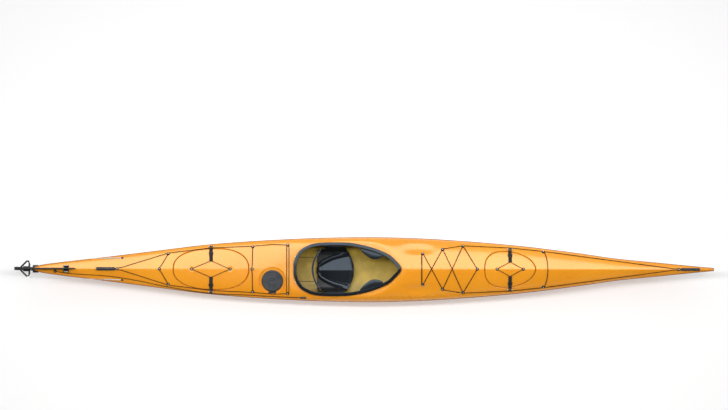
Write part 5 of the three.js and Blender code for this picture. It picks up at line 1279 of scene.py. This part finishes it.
# Carry toggles: ribbed rubber grips, each with the loop of cord that ties it to its deck fitting.
# Each lies on the deck and stands up from its tied end.
toggle_length = 0.150
toggle_gap = 0.003
toggle_rest = 0.0008
toggle_shoulder = ((0, 0), (0.55, 0.0004), (0.75, 0.002))
shoulder_length = 0.003
toggle_ribs = 6
rib_depth = 0.0025
rib_count = 96
loop_diameter = 0.004
loop_length = 0.006
loop_half_width = 0.007
loop_rise = 0.001


def toggle(name, knot, direction, radius):
    start_x = knot.x + direction * (fitting_radius + toggle_gap)
    start = on_skin(start_x, 0, radius + toggle_rest)
    end = on_skin(start_x + direction * toggle_length, 0, radius + toggle_rest)
    ribbed_length = toggle_length - 2 * shoulder_length
    profile = [(radius * share, out) for share, out in toggle_shoulder]
    for k in range(rib_count + 1):
        t = k / rib_count
        rib = abs(math.sin(t * toggle_ribs * math.pi)) ** 0.6
        profile.append((radius - rib_depth * (1 - rib), shoulder_length + t * ribbed_length))
    profile += [(radius * share, toggle_length - out) for share, out in reversed(toggle_shoulder)]
    bm = bmesh.new()
    lathe_into(bm, profile, start, end - start, 32)
    piece(name + "_grip", closed_mesh(name, bm), [rubber], name, "hatch_rubber", name, crisp=50)
    ring = []
    for k in range(13):
        turn = math.pi * (k / 12 - 0.5)
        along = direction * (loop_diameter - loop_length * math.cos(turn))
        ring.append(start + Vector((along, loop_half_width * math.sin(turn), loop_rise)))
    cord_piece(name + "_loop", ring, loop_diameter, name)


toggle("stern_toggle", stern_knot, -1, 0.014)
toggle("bow_toggle", bow_knot, 1, 0.012)

# The seat: a moulded pan hung from the coaming by two wings, and a gloss black liner in it with a
# low ridge down its middle. Its front edge is rounded and its sides are cut back.
seat_aft = cockpit_aft + 0.188
seat_length = 0.296
seat_shell = 0.005
seat_half = 0.165
seat_floor = 0.034
seat_hip = 0.092
seat_rim = 0.008
seat_front_lip = 0.026
seat_sweep = 0.058
sweep_start = 0.6
wing_start = 0.75
wing_sweep = 0.03
wing_gap = 0.003
pan_edge = 0.0012
liner_rest = 0.0016
liner_thickness = 0.009
liner_edge = 0.004
seat_rises = [(0, 0), (0.14, 0.12), (0.26, 1), (0.84, 1), (0.93, 0.25), (1, 0)]
seat_lifts = [(0, 0), (0.14, -0.1), (0.26, -0.2), (0.84, 0.1), (0.93, 0.5), (1, 1)]
bucket_curve = [(0, 0), (0.75, 0.08), (0.93, 0.35), (1, 1)]
bowl_leaf = [
    (0, 0.012), (0.04, 0.046), (0.105, 0.070), (0.38, 0.114), (0.557, 0.131), (0.8, 0.145), (1, 0.153),
]
bowl_rim = 0.038
roll_out = 0.015
roll_reach = 0.024
roll_height = 0.010
ridge_height = 0.013
aft_ease, fore_ease, lip_ease = 5, 6, 12
wall_line = coaming_outline(lip_width - coaming_wall / 2)


def half_width_at(outline, x):
    widest = 0
    for i, b in enumerate(outline):
        a = outline[i - 1]
        if (a.x - x) * (b.x - x) <= 0 and a.x != b.x and a.y + b.y > 0:
            widest = max(widest, a.y + (b.y - a.y) * (x - a.x) / (b.x - a.x))
    return widest


def swept(share, y):
    pull = seat_sweep / seat_length * (y / seat_half) ** 2
    return share - pull * max(share - sweep_start, 0) / (1 - sweep_start)


def bed_point(share, y):
    share = swept(share, y)
    floor = seat_floor + line_at(seat_lifts, share) * seat_front_lip
    z = floor + (seat_hip - floor) * line_at(bucket_curve, min(abs(y) / seat_half, 1))
    return Vector((seat_aft + share * seat_length, y, z))


def pan_point(share, across):
    if abs(across) <= wing_start:
        return bed_point(share, across / wing_start * seat_half)
    t = (abs(across) - wing_start) / (1 - wing_start)
    share = swept(share, seat_half + t * wing_sweep)
    x = seat_aft + share * seat_length
    rise = line_at(seat_rises, share)
    top = rounded_deck(x, 0) - coaming_depth - fit_gap
    low = seat_hip + seat_rim
    out = seat_half + (half_width_at(wall_line, x) - wing_gap - seat_half) * rise
    up = low + (top - low) * rise
    y = seat_half + (out - seat_half) * t
    return Vector((x, math.copysign(y, across), seat_hip + (up - seat_hip) * t))


def bowl_point(share, across):
    half = line_at(bowl_leaf, share)
    at = bed_point(share, across * half)
    bed_middle = bed_point(share, 0).z
    foot_out = max(half - bowl_rim, 0.001)
    along = min(abs(at.y) / foot_out, 1)
    straight = bed_middle + (bed_point(share, foot_out).z - bed_middle) * along + ridge_height * (1 - along)
    at.z = max(at.z, at.z + (straight - at.z) * min(share * aft_ease, 1, (1 - share) * fore_ease))
    to_rim = min(half - abs(at.y), share * seat_length)
    rim = roll_height * hump((to_rim - roll_out) / roll_reach) * min((1 - share) * lip_ease, 1)
    return at + Vector((0, 0, seat_shell + liner_rest + rim))


def seat_sheet(name, long_count, cross_count, place_at, thickness, edge, segments):
    bm = skin_grid(long_count, cross_count, place_at)
    facing(bm, True)
    return applied(
        mesh_from(name, bm),
        ("SOLIDIFY", {"thickness": thickness, "offset": 1}),
        ("BEVEL", {
            "width": edge, "segments": segments, "limit_method": "ANGLE", "angle_limit": math.radians(50),
        }),
    )


pan_mesh = seat_sheet("seat_shell", 60, 80, pan_point, seat_shell, pan_edge, 2)
piece("seat_shell", pan_mesh, [black_plastic], "hull", "black_plastic", "seat_pan")
liner_mesh = seat_sheet("seat_bowl", 56, 72, bowl_point, liner_thickness, liner_edge, 4)
piece("seat_bowl", liner_mesh, [gloss_black], "hull", "coaming_gloss", "seat_liner")

# The backband: a padded band across the back of the seat, with a strap arm at each end and a bungee
# on each side that draws it back to the coaming.
band_middle = cockpit_aft + 0.152
band_sweep = 0.068
band_out = 0.168
band_thickness = 0.018
band_height = 0.105
band_level = 0.115
band_long_count = 48
band_round_count = 28
band_end_thickness = 0.35
band_end_height = 0.86
band_ripple = 0.06
band_ripples = 9
band_side_power = 0.55
band_top_power = 0.8
arm_level = 0.164
arm_height = 0.026
arm_thickness = 0.006
arm_length = 0.054
arm_lap = 0.006
arm_web = 0.0028
arm_patch = (0.022, arm_thickness, arm_height + 0.004)
arm_patch_out = 0.030
pull_out = 0.096
pull_diameter = 0.005
pull_level_share = 0.85
fleece = new_paint(
    "fleece", (0.035, 0.037, 0.04), 0.9, 0.15,
    tone=(50.0, 6.0, (0.022, 0.023, 0.025), (0.055, 0.057, 0.06)),
    bump=(500.0, 4.0, 0.6, 0.001), sockets=(("Sheen Weight", 0.3),),
)


def band_x(y):
    return band_middle + band_sweep * (y / band_out) ** 2


band_rings = []
for i in range(band_long_count + 1):
    t = 2 * i / band_long_count - 1
    y = t * band_out
    plump = max(1 - abs(t) ** 6, 0) ** 0.5
    half_thick = band_thickness / 2 * (band_end_thickness + (1 - band_end_thickness) * plump)
    half_thick *= 1 + band_ripple * math.cos(t * band_ripples)
    half_tall = band_height / 2 * (band_end_height + (1 - band_end_height) * plump)
    ring = []
    for k in range(band_round_count):
        turn = k / band_round_count * math.tau
        a = math.copysign(abs(math.cos(turn)) ** band_side_power, math.cos(turn)) * half_thick
        b = math.copysign(abs(math.sin(turn)) ** band_top_power, math.sin(turn)) * half_tall
        ring.append(Vector((band_x(y) + a, y, band_level + band_height / 2 + b)))
    band_rings.append(ring)
band_mesh = rim_loop("back_pad", band_rings, closed=False)
back_pad = piece("back_pad", band_mesh, [fleece], "backband", "foam", "backband")

seat_cord = braided("seat_cord", (0.02, 0.02, 0.022), (0.06, 0.06, 0.065))
coaming_inside = coaming_outline(lip_width)
wall_aft = min(p.x for p in coaming_inside if abs(p.y - pull_out) < 0.02) + coaming_wall
wall_level = rounded_deck(cockpit_aft + lip_width, 0) - coaming_depth / 2
for side_name, side in (("port", 1), ("starboard", -1)):
    y = side * (band_out - arm_thickness / 2)
    start, end = band_x(band_out) - arm_lap, band_x(band_out) + arm_length
    arm = bmesh.new()
    block_into(arm, (end - start, arm_web, arm_height), Vector(((start + end) / 2, y, arm_level)))
    block_into(arm, arm_patch, Vector((start + arm_patch_out, y, arm_level)))
    arm_mesh = bevelled("arm", arm, 0.0007)
    piece("back_arm_" + side_name, arm_mesh, [webbing], "backband", "webbing", "backband", crisp=50)
    band_back = band_x(pull_out) - band_thickness / 2 - rest_gap
    back = Vector((band_back, side * pull_out, band_level + pull_level_share * band_height))
    front = Vector((wall_aft, side * pull_out, wall_level))
    cord_piece(
        "back_bungee_" + side_name, [front, front.lerp(back, 0.5), back], pull_diameter, "hull",
        "backband_bungee_" + side_name, paint=seat_cord, steps=8,
    )

# Thigh braces: gloss black flanges moulded with the coaming, padded underneath where the thighs
# press. Each is widest in its middle.
brace_start = 0.6172 * cockpit_length
brace_length = 0.2135 * cockpit_length
brace_reach = 0.062
brace_root = 0.008
brace_drop = 0.010
brace_thickness = 0.006
brace_softness = 0.0025
brace_curve = 0.85
brace_count = 40
pad_thickness = 0.012
pad_root = 0.004
pad_inset = 0.002
pad_lap = 0.001
pad_softness = 0.005
for side_name, side in (("port", 1), ("starboard", -1)):
    plate_rings, pad_rings = [], []
    for k in range(brace_count + 1):
        t = k / brace_count
        x = cockpit_aft + brace_start + t * brace_length
        out = half_width_at(coaming_inside, x) - fit_gap
        tip = out - brace_root - (brace_reach - brace_root) * math.sin(math.pi * t) ** brace_curve
        level = rounded_deck(x, 0) - brace_drop
        plate = softened([
            (out, 0), (out, brace_thickness), (tip, brace_thickness), (tip, 0),
        ], brace_softness, 3)
        pad = softened([
            (out - pad_root, -pad_thickness), (out - pad_root, pad_lap), (tip + pad_inset, pad_lap),
            (tip + pad_inset, -pad_thickness),
        ], pad_softness, 3)
        for rings, section in ((plate_rings, plate), (pad_rings, pad)):
            rings.append([Vector((x, side * y, level + z)) for y, z in section])
    solid = "thigh_brace_" + side_name
    plate_mesh = rim_loop("brace", plate_rings, closed=False)
    piece("brace_plate_" + side_name, plate_mesh, [gloss_black], "hull", "coaming_gloss", solid)
    pad_mesh = rim_loop("pad", pad_rings, closed=False)
    pad_piece = piece("brace_pad_" + side_name, pad_mesh, [fleece], "hull", "foam", solid)


# Bulkheads: flat laminate walls, resined in, that close the compartments off. They are the drawn
# solids with softened edges.
def refined(node, name, width, paint, body, slot, segments=3, crisp=50):
    bm = bmesh.new()
    bm.from_mesh(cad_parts[node].data)
    bmesh.ops.remove_doubles(bm, verts=bm.verts, dist=0.00002)
    bmesh.ops.dissolve_limit(bm, angle_limit=math.radians(1.5), verts=bm.verts, edges=bm.edges)
    piece(name, bevelled(name, bm, width, segments, 28), [paint], body, slot, node, crisp=crisp)


for label in ("day", "rear", "front"):
    refined(label + "_bulkhead", label + "_wall", 0.001, laminate, "hull", "inside_laminate")

# Foot rails and pedals: anodised rails glued to the hull's sides, with a black pedal on a carriage on
# each. The pedals pull the rudder's cables, which run aft in white tubes and leave the deck through
# rubber grommets.
sleeve_entry_share = 0.1287
sleeve_entry_out = 0.0873
grommet_profile = [(0.0095, -0.002), (0.0095, 0.001), (0.0082, 0.0045), (0.005, 0.0068), (0, 0.0074)]
alloy = new_paint(
    "alloy", (0.25, 0.26, 0.28), 0.4, wear=(30.0, 4.0, 0.3, 0.5, (1, 8, 8)), sockets=(("Metallic", 1),),
)
tube_white = new_paint(
    "tube_white", (0.72, 0.74, 0.73), 0.35, wear=(20.0, 3.0, 0.28, 0.5),
    sockets=(("Transmission Weight", 0.25), ("Subsurface Weight", 0.2)),
)
for side_name in ("port", "starboard"):
    pedal = "foot_pedal_" + side_name
    refined("foot_rail_" + side_name, "rail_" + side_name, 0.0012, alloy, "hull", "alloy")
    refined(pedal, "pedal_" + side_name, 0.002, black_plastic, pedal, "black_plastic")
for side_name, side in (("port", 1), ("starboard", -1)):
    sleeve, cable = "cable_sleeve_" + side_name, "rudder_cable_" + side_name
    refined(sleeve, "tube_" + side_name, 0.001, tube_white, "hull", "cable_sleeve", 2, 75)
    x, y = x_at(sleeve_entry_share), side * sleeve_entry_out
    grommet = bmesh.new()
    lathe_into(grommet, grommet_profile, Vector((x, y, rounded_deck(x, y))), deck_normal(x, y), 28)
    grommet_mesh = closed_mesh("grommet", grommet)
    piece("sleeve_grommet_" + side_name, grommet_mesh, [rubber], "hull", "hatch_rubber", sleeve)
    refined(cable, "aft_cable_" + side_name, 0.0004, steel, cable, "stainless", 2)
    fore_name, pedal = "fore_cable_" + side_name, "foot_pedal_" + side_name
    refined("pedal_cable_" + side_name, fore_name, 0.0003, steel, pedal, "stainless", 2)

# The rudder: a bracket on the stern, a head that turns on a steel pin, a blade that lies stowed
# along the deck in a rubber chock, and the yoke that the cables pull.
refined("rudder_bracket", "stern_bracket", 0.0015, black_plastic, "hull", "black_plastic")
refined("rudder_yaw_pin", "yaw_pin", 0.0007, steel, "hull", "stainless")
refined("rudder_head", "head_casting", 0.0014, black_plastic, "rudder_head", "black_plastic")
refined("rudder_yoke", "yoke_plate", 0.0009, black_plastic, "rudder_head", "black_plastic")
refined("rudder_pivot_bolt", "pivot_bolt", 0.0008, steel, "rudder_head", "stainless")
refined("rudder_blade", "blade_foil", 0.0032, black_plastic, "rudder_blade", "black_plastic", 5, 30)
refined("rudder_chock", "blade_chock", 0.0015, rubber, "hull", "hatch_rubber")
chock_low, chock_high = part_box("rudder_chock")
tip_size = (chock_high.x - chock_low.x - 0.008, 0.0052, 0.0022)
tips = bmesh.new()
for side in (1, -1):
    tip_y = side * (chock_high.y - 0.0035)
    block_into(tips, tip_size, Vector(((chock_low.x + chock_high.x) / 2, tip_y, chock_high.z + 0.0004)))
tip_mesh = bevelled("chock_tips", tips, 0.0008)
piece("chock_tips", tip_mesh, [tube_white], "hull", "cable_sleeve", crisp=50)

# The rudder's haul line: it runs from its guide aft along the starboard edge to a cleat by the
# cockpit, where it is made fast. The last screws, the cleat's, complete the screws' piece.
haul_shares = [
    (0.03, 0.45), (0.0465, 0.64), (0.064, 0.64), (0.1, 0.6), (0.15, 0.74), (0.19, 0.9), (0.25, 0.972),
    (0.27, 0.972), (0.32, 0.93), (0.3913, 0.93),
]
haul_diameter = 0.005
haul_count = 220
haul_start, haul_end = haul_shares[0][0], haul_shares[-1][0]
haul = []
for k in range(haul_count + 1):
    share = haul_start + (haul_end - haul_start) * k / haul_count
    out = line_at(haul_shares, share) * half_beam_at(share)
    haul.append(on_skin(x_at(share), -out, haul_diameter / 2 + rest_gap))
cord_piece("haul_line", haul, haul_diameter, "hull", "rudder_haul_line", steps=1)
refined("haul_line_cleat", "line_cleat", 0.0012, black_plastic, "hull", "black_plastic")
cleat_low, cleat_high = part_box("haul_line_cleat")
for out in (-0.004, 0.004):
    x, y = (cleat_low.x + cleat_high.x) / 2 + out, (cleat_low.y + cleat_high.y) / 2
    lathe_into(screws, screw_profile, Vector((x, y, cleat_low.z + 0.014)), Vector((0, 0, 1)), 12)
piece("screws", closed_mesh("screws", screws), [steel], "hull", "stainless")
